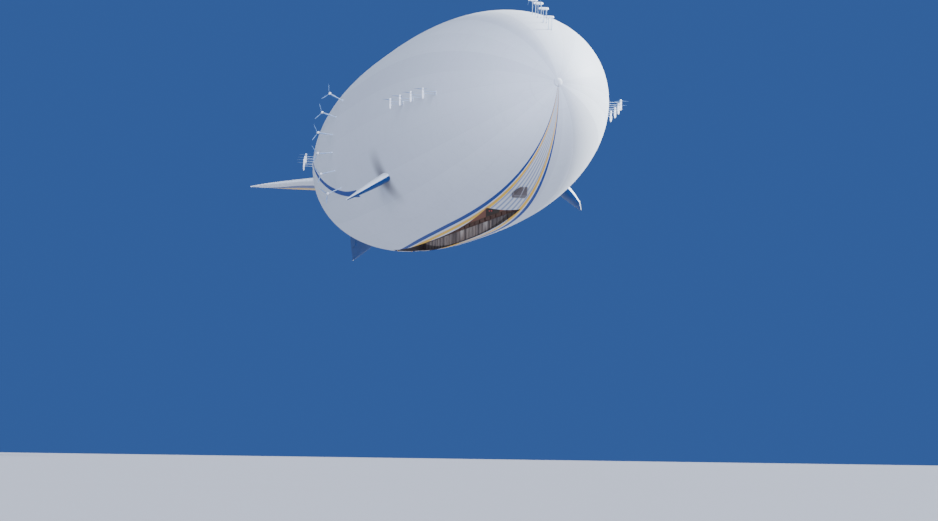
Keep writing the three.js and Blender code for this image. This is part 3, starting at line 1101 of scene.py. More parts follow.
    def _root_shade(self, work: Paintwork, station: Socket, degrees: Socket) -> Socket:
        """Draws painted shade: a soft darkening round the root of each shoulder fin.

        Args:
            work: the paintwork.
            station: the place along the hull.
            degrees: the degrees away from the belly line.

        Returns:
            The painted shade's mask.
        """
        along = work.size(work.minus(station, self.root_x))
        across = work.size(work.minus(degrees, self.root_deg))
        return work.times(work.span(along, self.root_core, self.root_reach, 1.0, 0.0),
                          work.span(across, self.root_core_deg, self.root_reach_deg, 1.0, 0.0))

    def _seams(self, work: Paintwork, where: bpy.types.NodeOutputs) -> Socket:
        """Draws the seams of the fabric: along the gores and round the rings.

        Args:
            work: the paintwork.
            where: the outputs of the hull's places.

        Returns:
            The seams' mask.
        """
        width = work.over(self.gore_seam, work.larger(where["Radius"], self.least_radius))
        gores = work.use(repeated_lines(), Value=where["Around"], Spacing=self.gore_deg,
                         Half_Width=width, Softness=self.gore_seam_edge_deg)
        rings = work.use(repeated_lines(), Value=where["Station"], Spacing=self.ring_spacing,
                         Half_Width=self.ring_half_width, Softness=self.ring_edge)
        return work.larger(gores.outputs["Mask"], rings.outputs["Mask"])


@dataclass
class HullSkin:
    """The hull's skin with the freight slot and the cockpit window cut in it."""

    slot_half_width: float = 0.325
    round_slot: Triple = (0.6, -3.4, 5.2)
    round_window: Triple = (0.35, 5.3, 6.1)
    per_half: int = 56
    steps: int = 144

    def build(self, hold: "CargoHold", window: "Cockpit") -> None:
        """Models the skin.

        Args:
            hold: the freight hold whose slot is cut.
            window: the cockpit whose opening is cut.
        """
        skin = Bench.turned("hull_skin", HULL.rows(self.per_half), self.steps)
        half = self.slot_half_width
        slot = ((AXIS_X * hold.front, AXIS_X), (AXIS_X * hold.rear, AXIS_X),
                (AXIS_Y * half, AXIS_Y), (AXIS_Y * -half, AXIS_Y))
        with Bench.editing(skin):
            for planes, near, inside in (
                    (slot, self._below(*self.round_slot),
                     self._below(half, hold.rear, hold.front)),
                    (window.window_planes(), self._below(*self.round_window),
                     lambda spot: spot.place.z < 0 and window.in_window(spot.place))):
                for place, normal in planes:
                    Bench.pick(skin, Pick.FACES, near)
                    Bench.slice(place, normal)
                Bench.pick(skin, Pick.FACES, inside)
                bpy.ops.mesh.delete(type="FACE")
        Bench.modify(skin, "SOLIDIFY", thickness=HULL.skin, offset=-1, use_even_offset=True)
        Bench.dress(skin, HullFabric().material())
        Bench.finish(skin, "airframe", "hull_white", ["envelope"], smooth_deg=35)

    @staticmethod
    def _below(half_width: float, rear: float, front: float) -> Test:
        """Gives the test for spots on the belly between two stations."""
        return lambda spot: (spot.place.z < 0 and abs(spot.place.y) < half_width
                             and rear < spot.place.x < front)


@dataclass
class Ends:
    """The mooring cap at the nose and the cone at the tail."""

    cap_radius: float = 0.075
    face_radius: float = 0.060
    cap_front: float = 7.824
    cone_front: float = -7.250
    cone_rear: float = -8.720
    cone_front_radius: float = 0.560
    cone_rear_radius: float = 0.065
    cap_seat: float = 0.02
    lip: float = 0.004
    cone_stations: int = 18
    steps: int = 96

    def build(self) -> None:
        """Models both ends."""
        self._cap()
        self._cone()

    def _cap(self) -> None:
        """Models the cap: a domed rim round a flat face."""
        back = HULL.fore_length - self.cap_seat
        rows = [(back, 0.0), (back, self.cap_radius),
                (HULL.fore_length, self.cap_radius),
                (self.cap_front - self.lip, self.face_radius + self.lip),
                (self.cap_front, self.face_radius), (self.cap_front, 0.0)]
        cap = Bench.turned("nose_cap_dressed", rows, self.steps)
        Bench.dress(cap, bpy.data.materials["hull_fabric"])
        Bench.finish(cap, "airframe", "hull_white", ["nose_cap"], smooth_deg=60)

    def _cone(self) -> None:
        """Models the cone with its rounded rear end."""
        run = self.cone_front - self.cone_rear
        slope = (self.cone_front_radius - self.cone_rear_radius) / run
        end, radius = self.cone_rear, self.cone_rear_radius
        rows = [(end, 0.0), (end, 0.7 * radius), (end + 0.2 * radius, 0.92 * radius)]
        for i in range(1, self.cone_stations + 1):
            x = end + run * i / self.cone_stations
            rows.append((x, radius + slope * (x - end)))
        rows.append((self.cone_front, 0.0))
        cone = Bench.turned("tail_cone_dressed", rows, self.steps)
        Bench.dress(cone, bpy.data.materials["hull_fabric"])
        Bench.finish(cone, "airframe", "hull_white", ["tail_cone"], smooth_deg=40)


@dataclass(frozen=True)
class HoldLining:
    """The hold's lining: ribbed grey panels below, a red-brown web with a painted dark opening
    above, and painted light and shade.
    """

    panel_width: float = 0.125
    opening_edge: float = 0.01
    web_bottom: float = -1.790
    web_top: float = -1.500
    opening_front: float = 3.000
    opening_rear: float = 2.050
    opening_bottom: float = -1.705
    opening_top: float = -1.550
    dark_front: Row = (2.300, 3.100)
    # Stations of the painted pools of light on the wall.
    pools: tuple[float, ...] = (0.310, 2.070)
    pool_radius: float = 0.20
    pool_core: float = 0.02
    pool_strength: float = 0.8
    web_edge: float = 0.004
    # Painted shade above the web's top: how far it fades in and how dark it gets.
    soot_reach: float = 0.05
    soot_strength: float = 0.7
    # Depths inside the hull's surface over which the painted shadow at the wall's foot fades out.
    foot: Row = (0.035, 0.055)
    foot_strength: float = 0.85

    def material(self) -> Material:
        """Builds the lining.

        Returns:
            The material.
        """
        work = Paintwork("hold_lining")
        vector, x, y, z = work.place()
        tone = work.plus(work.times(work.chance(work.over(x, self.panel_width)), 0.6),
                         work.times(work.noise(vector, scale=3.0, detail=3), 0.5))
        stretched = work.node("Mapping")
        work.feed(stretched.inputs["Vector"], vector)
        stretched.inputs["Scale"].default_value = (60, 60, 3)
        streaks = work.noise(stretched.outputs["Vector"], scale=1.0, detail=2)
        colour = work.layered(
            linear(PANEL_DARK), (tone, PANEL_PALE), (work.span(streaks, 0.55, 0.8, 0.0, 0.5), RUST),
            # Painted pools of light on the wall under the beams.
            (self._pools(work, x, z), LIGHT_POOL), (work.span(x, *self.dark_front, 0.0, 0.5), DIM),
            (work.span(z, self.web_bottom - self.web_edge, self.web_bottom + self.web_edge),
             WEB_BROWN),
            # Painted shade: the wall darkens above the web's top towards the roof.
            (work.span(z, self.web_top, self.web_top + self.soot_reach, 0.0, self.soot_strength),
             ROOF_SHADE),
            # Painted shade: a dark patch where the web opens.
            (self._opening(work, x, z), OPENING_SHADE),
            # Painted shadow along the wall's foot by the slot's lip.
            (work.span(self._depth(work, x, y, z), *self.foot, self.foot_strength, 0.0), LIP_SHADOW))
        work.set(Base_Color=colour, Roughness=0.65)
        work.bump(streaks, distance=1.5 * MM, strength=0.6)
        return work.material

    def _pools(self, work: Paintwork, x: Socket, z: Socket) -> Socket:
        """Draws painted pools of light: pale patches on the wall under the beams.

        Args:
            work: the paintwork.
            x: the place along the hold.
            z: the height.

        Returns:
            The painted light's mask.
        """
        pools = 0.0
        for station in self.pools:
            away = work.minus(x, station)
            below = work.minus(z, self.web_bottom)
            apart = work.root(work.plus(work.times(away, away), work.times(below, below)))
            pools = work.larger(pools, work.span(apart, self.pool_core, self.pool_radius,
                                                 self.pool_strength, 0.0))
        return pools

    def _depth(self, work: Paintwork, x: Socket, y: Socket, z: Socket) -> Socket:
        """Measures how far inside the hull's surface a place lies.

        Args:
            work: the paintwork.
            x: the place along the hull.
            y: the place across it.
            z: the height.

        Returns:
            The depth in metres.
        """
        reach = 1.0
        for way, length, power in ((1, HULL.fore_length, HULL.fore_power),
                                   (-1, HULL.aft_length, HULL.aft_power)):
            share = work.larger(work.times(x, way / length), 0.0)
            reach = work.smaller(reach, work.minus(1.0, work.power(share, power)))
        out = work.root(work.plus(work.times(y, y), work.times(z, z)))
        return work.minus(work.times(reach, HULL.radius), out)

    def _opening(self, work: Paintwork, x: Socket, z: Socket) -> Socket:
        """Paints shade where the web opens behind the slot's front edge: a dark patch, with no hole
        cut.

        Args:
            work: the paintwork.
            x: the place along the hold.
            z: the height.

        Returns:
            The painted shade's mask.
        """
        mask = 1.0
        for value, edge, way in ((x, self.opening_rear, 1), (x, self.opening_front, -1),
                                 (z, self.opening_bottom, 1), (z, self.opening_top, -1)):
            soft = way * self.opening_edge
            mask = work.times(mask, work.span(value, edge - soft, edge + soft))
        return mask


@dataclass
class CargoHold:
    """The freight hold behind the slot: ribbed walls, beams, hoists and lamps."""

    front: float = 4.650
    rear: float = -2.850
    half_width: float = 0.400
    roof: float = -1.350
    wall: float = 0.008
    beam_top: float = -1.710
    beam_height: float = 0.080
    beam_depth: float = 0.020
    rail_y: float = 0.220
    rail_size: float = 0.040
    rail_gap: float = 0.100
    hoists: tuple[float, ...] = (-0.600, 0.600, 1.300, 2.500)
    drum_radius: float = 0.030
    drum_length: float = 0.280
    drum_flange: float = 0.008
    drum_turns: int = 16
    flange: float = 0.006
    beam_panels: int = 20
    beam_rim: float = 0.008
    beam_sink: float = 0.012
    rib_depth: float = 0.010
    ribs: int = 61
    open_low: float = -2.2
    seat: float = 0.0003
    lamp_radius: float = 0.012
    lamps: tuple[Row, ...] = ((2.330, -1.610), (2.480, -1.625))

    @property
    def beam_low(self) -> float:
        """The height of the beams' underside."""
        return self.beam_top - self.beam_height

    def build(self) -> None:
        """Models the whole hold."""
        self._room()
        for side in Side:
            self._beam(side)
        self._gantry()
        self._lamps()

    def _room(self) -> None:
        """Models the room: a box open below, its walls drawn into upright ribs."""
        wall = self.wall
        room = Bench.box("hold_room", (self.rear - wall, -self.half_width - wall, self.open_low),
                         (self.front + wall, self.half_width + wall, self.roof + wall))
        Bench.work(room, Bench.box("hollow", (self.rear, -self.half_width, self.open_low - 0.1),
                                   (self.front, self.half_width, self.roof)), Cut.TAKE_AWAY)
        spacing = (self.front - self.rear) / self.ribs
        rib_top = self.beam_low - self.rib_depth
        with Bench.editing(room):
            Bench.slice_all(AXIS_X, [self.rear + i * spacing for i in range(1, self.ribs)])
            Bench.slice_all(AXIS_Z, [rib_top])
            for sign in (1, -1):
                Bench.pick(room, Pick.FACES, lambda spot:
                           abs(spot.place.y - sign * self.half_width) < 0.1 * MM
                           and spot.place.z < rib_top
                           and int((spot.place.x - self.rear) / spacing) % 2 == 1)
                Bench.draw_out((0, -sign * self.rib_depth, 0))
        Bench.work(room, HULL.body(-HULL.skin - self.seat), Cut.KEEP_COMMON)
        Bench.dress(room, HoldLining(panel_width=spacing).material())
        Bench.finish(room, "airframe", "hold_grey", ["cargo_hold"])

    def _beam(self, side: Side) -> None:
        """Models one side's red-brown beam as a channel with stiffeners.

        Args:
            side: the side.
        """
        sign = side.value
        outer = sign * (self.half_width - self.seat)
        inner = outer - sign * self.beam_depth
        beam = Bench.box(f"hold_beam_{side.word}_dressed",
                         (self.rear + self.seat, min(outer, inner), self.beam_low),
                         (self.front - self.seat, max(outer, inner), self.beam_top))
        run = self.front - self.rear
        with Bench.editing(beam):
            Bench.slice_all(AXIS_X, [self.rear + run * i / self.beam_panels
                                     for i in range(1, self.beam_panels)])
            Bench.pick(beam, Pick.FACES, lambda spot: spot.facing.y * sign < -0.5)
            bpy.ops.mesh.inset(thickness=self.beam_rim, use_individual=True)
            Bench.draw_out((0, sign * self.beam_sink, 0))
        Bench.dress(beam, BEAM_BROWN.material())
        Bench.finish(beam, "airframe", "beam_brown", [f"hold_beam_{side.word}"])

    def _gantry(self) -> None:
        """Models the hoist gantry: two flanged rails, cross beams and drums."""
        top = self.roof - self.seat
        bottom = top - self.rail_size
        half = self.rail_size / 2
        rear, front = self.rear + self.rail_gap, self.front - self.rail_gap
        parts = [self._bar((rear, sign * self.rail_y - half, bottom),
                           (front, sign * self.rail_y + half, top), AXIS_Y) for sign in (1, -1)]
        for station in self.hoists:
            parts.append(self._bar((station - half, -self.rail_y, bottom),
                                   (station + half, self.rail_y, top), AXIS_X))
            parts.append(self._drum(station, bottom - self.drum_radius / 2))
        gantry = Bench.join("hoist_gantry_dressed", parts)
        Bench.finish(gantry, "airframe", "gantry_grey", ["hoist_gantry"])

    def _bar(self, low: Sequence[float], high: Sequence[float], across: Vector) -> Piece:
        """Models a square bar with both sides sunk, which leaves an I section.

        Args:
            low: its lowest corner.
            high: its highest corner.
            across: the direction from one side to the other.

        Returns:
            The dressed bar.
        """
        bar = Bench.box("bar", low, high)
        with Bench.editing(bar):
            for sign in (1, -1):
                Bench.pick(bar, Pick.FACES, lambda spot: spot.facing.dot(across) * sign > 0.5)
                bpy.ops.mesh.inset(thickness=self.flange)
                Bench.draw_out(across * (-sign * self.rail_size * 0.3))
        return Bench.dress(bar, GANTRY_GREY.material())

    def _drum(self, station: float, height: float) -> Piece:
        """Models one hoist drum with end flanges and grooves.

        Args:
            station: where it hangs.
            height: the height of its axis.

        Returns:
            The dressed drum.
        """
        half = self.drum_length / 2
        radius = self.drum_radius
        start = -half + self.drum_flange
        pitch = (self.drum_length - 2 * self.drum_flange) / self.drum_turns
        rows: list[Row] = [(-half, 0.0), (-half, radius), (start, radius)]
        for i in range(self.drum_turns):
            rows += [(start + i * pitch, 0.72 * radius),
                     (start + (i + 0.5) * pitch, 0.82 * radius)]
        rows += [(-start, 0.72 * radius), (-start, radius), (half, radius), (half, 0.0)]
        placed = Matrix.Translation((station, 0, height)) @ Matrix.Rotation(math.pi / 2, 4, "Z")
        return Bench.dress(Bench.settle(Bench.turned("drum", rows, steps=24), placed),
                           DRUM_STEEL.material())

    def _lamps(self) -> None:
        """Models two small red lamps on each side wall, in front of the web's painted dark opening.
        """
        wall = self.half_width - self.rib_depth
        places = [Matrix.Translation((station, side.value * wall, height))
                  @ Matrix.Rotation(-side.value * math.pi / 2, 4, "Z")
                  for side in Side for station, height in self.lamps]
        lens = Lamp("lamp_red", (190, 14, 20), strength=0.15).lens(self.lamp_radius, (
            (-0.8, 0.0), (-0.8, 1.3), (0.3, 1.3), (0.3, 1.0), (0.8, 0.8), (1.2, 0.4), (1.3, 0.0)))
        lamps = Bench.join("hold_lamps", Bench.spread(lens, places))
        Bench.finish(lamps, "airframe", "glass_dark")


@dataclass(frozen=True)
class Glazing:
    """Smoked glazing."""

    def material(self) -> Material:
        """Builds the glazing, a little dusty in places.

        Returns:
            The material.
        """
        work = Paintwork("smoked_glazing")
        dust = work.use(weather(), Cloud_Scale=14.0, Grime_Scale=60.0, Strength=0.6)
        colour = work.mix(dust.outputs["Grime"], linear((88, 79, 79)), linear((108, 99, 97)))
        work.set(Base_Color=colour, Roughness=0.28, Transmission_Weight=0.15,
                 Specular_IOR_Level=0.3)
        return work.material


@dataclass
class Cockpit:
    """The cockpit under the belly: a cabin tub behind a glazed blister."""

    x: float = 5.690
    half_length: float = 0.215
    half_width: float = 0.135
    drop: float = 0.070
    share: float = 0.68
    cabin_wall: float = 0.006
    glass_half_width: float = 0.125
    glass_wall: float = 0.006
    rounding: float = 0.018
    brow: float = -0.020
    fairing_front: float = -0.150
    nose_share: float = 0.52
    nose_rise: float = 0.048
    tail_share: float = 0.60
    tail_rise: float = 0.062
    bar_height: float = 0.004
    bar_depth: float = 0.001
    bar_half_width: float = 0.007

    @property
    def placed(self) -> Matrix:
        """The cockpit's own place: X along the hull's surface, Z inward."""
        return (Matrix.Translation((self.x, 0, -HULL.radius_at(self.x)))
                @ Matrix.Rotation(-HULL.slope_at(self.x), 4, "Y"))

    @property
    def window(self) -> Row:
        """The window's half length and half width."""
        return (self.share * self.half_length - self.cabin_wall,
                self.share * self.half_width - self.cabin_wall)

    def window_planes(self) -> list[tuple[Vector, Vector]]:
        """Gives a point and a direction for the planes of the window's four sides."""
        return [(self.placed @ (axis * sign * half), self.placed.to_3x3() @ axis)
                for axis, half in zip((AXIS_X, AXIS_Y), self.window) for sign in (1, -1)]

    def in_window(self, place: Vector) -> bool:
        """Says whether a point on the hull lies in the window."""
        own = self.placed.inverted() @ place
        return abs(own.x) < self.window[0] and abs(own.y) < self.window[1]

    def build(self) -> None:
        """Models the blister and its bars, and dresses the cabin tub."""
        Bench.dress(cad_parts["cockpit_cabin"], CABIN_GREY.material())
        self._glass()
        self._bars()

    def _body(self, name: str, outset: float) -> Piece:
        """Adds the blister's whole body: a sloped windscreen, a level floor and a faired rear.

        Args:
            name: the piece's plain name.
            outset: how far outside the glass it lies.

        Returns:
            The new piece.
        """
        size = (self.half_length + outset, self.glass_half_width + outset, self.drop + outset)
        end = size[0] - MM
        body = Bench.box(name, [-value for value in size], size)
        with Bench.editing(body):
            Bench.slice_all(AXIS_X, (self.brow, self.fairing_front))
            for sign, share, rise in ((1, self.nose_share, self.nose_rise),
                                      (-1, self.tail_share, self.tail_rise)):
                Bench.pick(body, Pick.POINTS, lambda spot: spot.place.x * sign > end)
                bpy.ops.transform.resize(value=(1, share, 1), center_override=(0, 0, 0))
                Bench.pick(body, Pick.POINTS, lambda spot: spot.place.x * sign > end
                           and spot.place.z < 0)
                bpy.ops.transform.translate(value=(0, 0, rise))
        Bench.modify(body, "BEVEL", width=self.rounding + outset, segments=4,
                     limit_method="ANGLE", angle_limit=math.radians(40))
        return Bench.settle(body, self.placed)

    def _glass(self) -> None:
        """Models the glass as a thin shell outside the hull, faired in fabric at its rear."""
        glass = self._body("cockpit_glass", 0.0)
        Bench.work(glass, self._body("inner", -self.glass_wall), Cut.TAKE_AWAY)
        Bench.work(glass, HULL.body(0.5 * MM), Cut.TAKE_AWAY)
        Bench.dress(glass, Glazing().material(), bpy.data.materials["hull_fabric"])
        own = self.placed.inverted()
        Bench.paint(glass, 1, lambda spot: (own @ spot.place).x < self.fairing_front)
        Bench.finish(glass, "airframe", "glass_dark", ["cockpit_glazing"], smooth_deg=50)

    def _bars(self) -> None:
        """Models the bars over the glass as thin ribs of a slightly larger shell."""
        shell = self._body("cockpit_bars", self.bar_height)
        Bench.work(shell, self._body("inner", -self.bar_depth), Cut.TAKE_AWAY)
        half = self.bar_half_width
        cage = Bench.box("bar", (self.fairing_front, -half, -1), (1, half, 1))
        Bench.work(cage, Bench.box("bar", (self.brow - MM, -1, -1), (self.brow + MM, 1, 1)),
                   Cut.JOIN)
        Bench.work(shell, Bench.settle(cage, self.placed), Cut.KEEP_COMMON)
        Bench.work(shell, HULL.body(0.2 * MM), Cut.TAKE_AWAY)
        Bench.dress(shell, FRAME_GREY.material())
        Bench.finish(shell, "airframe", "cabin_grey")


@dataclass(frozen=True)
class FinRow:
    """One section of a fin: its front, its distance from the hull's axis, chord and thickness."""

    front: float
    span: float
    chord: float
    thickness: float

    @staticmethod
    def between(first: "FinRow", second: "FinRow", share: float) -> "FinRow":
        """Gives the section part of the way from one to another."""
        return FinRow(*[a + (b - a) * share for a, b in zip(astuple(first), astuple(second))])


@dataclass
class FinShape:
    """A fin that stands along +Z, drawn out row by row from its root section."""

    rows: Sequence[FinRow]
    columns: int = 22
    steps_per_row: int = 3
    tail_share: float = 0.03

    def half_thickness(self, share: float) -> float:
        """Gives a smooth section's half thickness at a share of its chord."""
        smooth = 5 * (0.2969 * math.sqrt(share) - 0.1260 * share - 0.3516 * share ** 2
                      + 0.2843 * share ** 3 - 0.1036 * share ** 4)
        return smooth + self.tail_share * share

    def draw(self, name: str) -> Piece:
        """Models the fin.

        Args:
            name: the piece's plain name.

        Returns:
            A closed solid.
        """
        root = self.rows[0]
        bpy.ops.mesh.primitive_circle_add(vertices=2 * self.columns, radius=root.chord / 2,
                                          fill_type="NGON",
                                          location=(root.front - root.chord / 2, 0, root.span))
        fin = Bench.settle(Bench.named(name))
        with Bench.editing(fin):
            self._shape_section(fin, root)
            Bench.pick_all(Pick.FACES)
            here = root
            for first, second in zip(self.rows, self.rows[1:]):
                for step in range(1, self.steps_per_row + 1):
                    there = FinRow.between(first, second, step / self.steps_per_row)
                    self._next_section(here, there)
                    here = there
            # A last smaller section rounds the tip off.
            self._next_section(here, FinRow(
                here.front - 0.1 * here.chord, here.span + 0.25 * here.thickness,
                0.8 * here.chord, 0.5 * here.thickness))
            Bench.face_out()
        return fin

    def _shape_section(self, fin: Piece, root: FinRow) -> None:
        """Presses the round start into the section, one column of points after another.

        Args:
            fin: the fin, whose round start is edited.
            root: the section.
        """
        radius = root.chord / 2
        for i in range(1, self.columns):
            turn = math.pi * i / self.columns
            x = root.front - radius + radius * math.cos(turn)
            wanted = self.half_thickness((root.front - x) / root.chord) * root.thickness
            Bench.pick(fin, Pick.POINTS, lambda spot: abs(spot.place.x - x) < 1e-5)
            bpy.ops.transform.resize(value=(1, wanted / (radius * math.sin(turn)), 1),
                                     center_override=(x, 0, root.span))

    def _next_section(self, here: FinRow, there: FinRow) -> None:
        """Draws the selected end out to the next section."""
        Bench.draw_out((there.front - here.front, 0, there.span - here.span))
        bpy.ops.transform.resize(
            value=(there.chord / here.chord, there.thickness / here.thickness, 1),
            center_override=(there.front, 0, there.span))


@dataclass(frozen=True)
class TailPaint:
    """The side tail fins' paint: white, then a blue sweep, then gold to the rear edge."""

    white_front: Triple = (-7.15, 0.408, 1.300)
    white_span: float = 1.11
    gold_front: Triple = (-7.81, 0.4647, 0.700)
    gold_span: float = 1.03

    def material(self) -> Material:
        """Builds the paint.

        Returns:
            The material.
        """
        work = Paintwork("tail_paint")
        _, x, y, _ = work.place()
        span = work.size(y)
        colour = work.layered(
            linear(WHITE),
            (self._behind(work, x, work.minus(span, self.white_span), self.white_front), BLUE),
            (self._behind(work, x, work.minus(span, self.gold_span), self.gold_front), GOLD))
        work.set(Base_Color=work.aged(colour, strength=0.06, cloud_scale=2.0, grime_scale=14.0))
        work.bump(work.grained(scale=500.0, roughness=0.40), distance=0.05 * MM)
        return work.material

    def _behind(self, work: Paintwork, x: Socket, out: Socket, curve: Triple) -> Socket:
        """Draws the area behind a curve whose station falls away with the span.

        Args:
            work: the paintwork.
            x: the place along the hull.
            out: the span from the curve's start.
            curve: the curve's station there, its slope and its bend.

        Returns:
            The area's mask.
        """
        station, slope, bend = curve
        fall = work.plus(work.times(out, slope), work.times(work.times(out, out), bend))
        return work.span(work.minus(work.minus(station, fall), x), -0.004, 0.004)


@dataclass(frozen=True)
class Hinged:
    """A moving surface at a fin's rear edge: its hinge, its ends and its barrel's radii."""

    hinge: float
    inner: float
    outer: float
    inner_radius: float
    outer_radius: float
    gap: float = 0.005
    relief: float = 0.010
    rear: float = -8.80
    pin_radius: float = 0.008
    pin_length: float = 0.024
    seat: float = 0.0005

    def barrel(self, reach: float, outset: float) -> Piece:
        """Adds the tapered barrel, running past each end and larger by an outset."""
        return self._rod(reach, (self.inner_radius + outset, self.outer_radius + outset), 48)

    def pin(self, reach: float, outset: float) -> Piece:
        """Adds the hinge pin, which stands out at both ends."""
        return self._rod(self.pin_length + reach, (self.pin_radius + outset,) * 2, 24)

    def behind(self, reach: float) -> Piece:
        """Adds the block behind the hinge, between the surface's ends."""
        return Bench.box("behind", (self.rear, -1, self.inner - reach),
                         (self.hinge, 1, self.outer + reach))

    def _rod(self, reach: float, radii: Row, sides: int) -> Piece:
        """Adds a round rod about the hinge line.

        Args:
            reach: how far it runs past each end of the surface.
            radii: its radius at the inner and the outer end.
            sides: how many sides it has.

        Returns:
            A closed solid.
        """
        low, high = self.inner - reach, self.outer + reach
        bpy.ops.mesh.primitive_cone_add(vertices=sides, radius1=radii[0], radius2=radii[1],
                                        depth=high - low,
                                        location=(self.hinge, 0, (low + high) / 2))
        return Bench.settle(Bench.named("rod"))

    def split(self, blank: Piece, fin_name: str, surface_name: str) -> tuple[Piece, Piece]:
        """Splits a fin into its fixed part and its moving surface.

        Args:
            blank: the whole fin, which becomes the fixed part.
            fin_name: the fixed part's name.
            surface_name: the moving surface's name.

        Returns:
            The fixed part and the moving surface.
        """
        surface = Bench.copy(blank, surface_name, Matrix.Identity(4))
        Bench.work(surface, self.behind(0), Cut.KEEP_COMMON)
        Bench.work(surface, self.barrel(0, 0), Cut.JOIN)
        Bench.work(surface, self.pin(0, 0), Cut.JOIN)
        Bench.work(blank, self.behind(self.gap), Cut.TAKE_AWAY)
        Bench.work(blank, self.barrel(self.gap, self.gap + self.relief), Cut.TAKE_AWAY)
        Bench.work(blank, self.pin(MM, self.seat), Cut.TAKE_AWAY)
        blank.name = fin_name
        return blank, surface


@dataclass
class Fins:
    """All fins: two on the shoulders, four at the tail, with elevators, rudders and lights."""

    shoulder_drop_deg: float = 32.0
    shoulder: tuple[FinRow, ...] = (
        FinRow(2.840, 1.940, 0.860, 0.195), FinRow(2.750, 2.200, 0.730, 0.172),
        FinRow(2.620, 2.380, 0.630, 0.145), FinRow(2.400, 2.600, 0.430, 0.095),
        FinRow(2.030, 2.785, 0.080, 0.030))
    side: tuple[FinRow, ...] = (
        FinRow(-6.050, 0.060, 2.650, 0.250), FinRow(-6.680, 1.250, 2.020, 0.160),
        FinRow(-7.680, 1.950, 1.020, 0.090), FinRow(-8.010, 2.150, 0.670, 0.060),
        FinRow(-8.560, 2.390, 0.100, 0.024))
    keel: tuple[FinRow, ...] = (
        FinRow(-5.350, 0.060, 3.030, 0.200), FinRow(-5.350, 1.160, 2.990, 0.190),
        FinRow(-5.400, 1.480, 2.800, 0.120), FinRow(-6.400, 1.605, 1.720, 0.070),
        FinRow(-7.450, 1.690, 0.620, 0.050), FinRow(-7.900, 1.720, 0.170, 0.030))
    elevator: Hinged = Hinged(hinge=-8.050, inner=0.700, outer=1.850, inner_radius=0.057,
                              outer_radius=0.047)
    rudder: Hinged = Hinged(hinge=-7.560, inner=0.700, outer=1.420, inner_radius=0.054,
                            outer_radius=0.049)
    light_radius: float = 0.011

    def build(self) -> None:
        """Models every fin."""
        self._shoulders()
        self._tail("side", self.side, self.elevator, TailPaint().material(),
                   {"port": -90, "starboard": 90}, "elevator")
        self._tail("keel", self.keel, self.rudder, FIN_BLUE.material(),
                   {"dorsal": 0, "ventral": 180}, "rudder")
        self._lights()

    def _shoulders(self) -> None:
        """Models the shoulder fins: white above and blue below."""
        blank = FinShape(self.shoulder).draw("shoulder_fin")
        Bench.dress(blank, FIN_WHITE.material(), FIN_BLUE.material())
        for side in Side:
            turn = Matrix.Rotation(-side.value * math.radians(90 + self.shoulder_drop_deg), 4, "X")
            fin = Bench.copy(blank, f"shoulder_fin_{side.word}_dressed", turn)
            under = turn.to_3x3() @ AXIS_Y * side.value
            Bench.paint(fin, 1, lambda spot: spot.place.dot(under) > 0)
            Bench.finish(fin, "airframe", "fin_white", [f"shoulder_fin_{side.word}"])
        bpy.data.objects.remove(blank)

    def _tail(self, kind: str, rows: Sequence[FinRow], hinged: Hinged,
              paint: Material, turns: dict[str, float], surface: str) -> None:
        """Models one pair of tail fins with their moving surfaces.

        Args:
            kind: which pair it is.
            rows: the fin's sections.
            hinged: the moving surface.
            paint: the pair's material.
            turns: each fin's name and its turn about the X axis, in degrees.
            surface: the moving surface's plain name.
        """
        blank = FinShape(rows).draw(kind)
        Bench.dress(blank, paint)
        fin, moving = hinged.split(blank, kind + "_fin", kind + "_surface")
        slots = ("fin_white", "elevator_gold") if kind == "side" else ("fin_blue", "fin_blue")
        for name, degrees in turns.items():
            turn = Matrix.Rotation(math.radians(degrees), 4, "X")
            fixed = Bench.copy(fin, f"tail_fin_{name}_dressed", turn)
            Bench.finish(fixed, "airframe", slots[0], [f"tail_fin_{name}"])
            turning = Bench.copy(moving, f"{surface}_{name}_dressed", turn)
            Bench.finish(turning, f"{surface}_{name}", slots[1], [f"{surface}_{name}"])
        bpy.data.objects.remove(fin)
        bpy.data.objects.remove(moving)

    def _lights(self) -> None:
        """Models a small lens on each fin's tip."""
        size = self.light_radius
        drop = 90 + self.shoulder_drop_deg
        places = []
        for rows, degrees in ((self.shoulder, drop), (self.shoulder, -drop), (self.side, 90),
                              (self.side, -90), (self.keel, 0), (self.keel, 180)):
            tip = rows[-1]
            places.append(Matrix.Rotation(math.radians(degrees), 4, "X")
                          @ Matrix.Translation((tip.front - tip.chord / 2, 0, tip.span - size / 3))
                          @ Matrix.Rotation(-math.pi / 2, 4, "Y"))
        lens = Lamp("lamp_white", (250, 250, 246), strength=1.2).lens(size, (
            (0.0, 0.0), (0.0, 1.2), (0.4, 1.2), (0.5, 1.0), (1.0, 0.8), (1.4, 0.4), (1.5, 0.0)))
        lights = Bench.join("fin_tip_lights", Bench.spread(lens, places))
        Bench.finish(lights, "airframe", "nacelle_white")


@dataclass(frozen=True)
class Unit:
    """One kind of propulsion unit: its pod, its propeller and where its struts sit."""

    length: float
    radius: float
    blade_radius: float
    struts: tuple[float, ...]
    phase_deg: float = 0.0


@dataclass(frozen=True)
class UnitPlace:
    """Where a unit stands: its centre, which way is out, and where its shaft points."""

    centre: Vector
    out: Vector
    shaft: Vector
    standoff: float

    @property
    def placed(self) -> Matrix:
        """The unit's own frame: X outward, Z along the shaft."""
        across = self.shaft.cross(self.out)
        turn = Matrix((self.out, across, self.shaft)).transposed().to_4x4()
        return Matrix.Translation(self.centre) @ turn


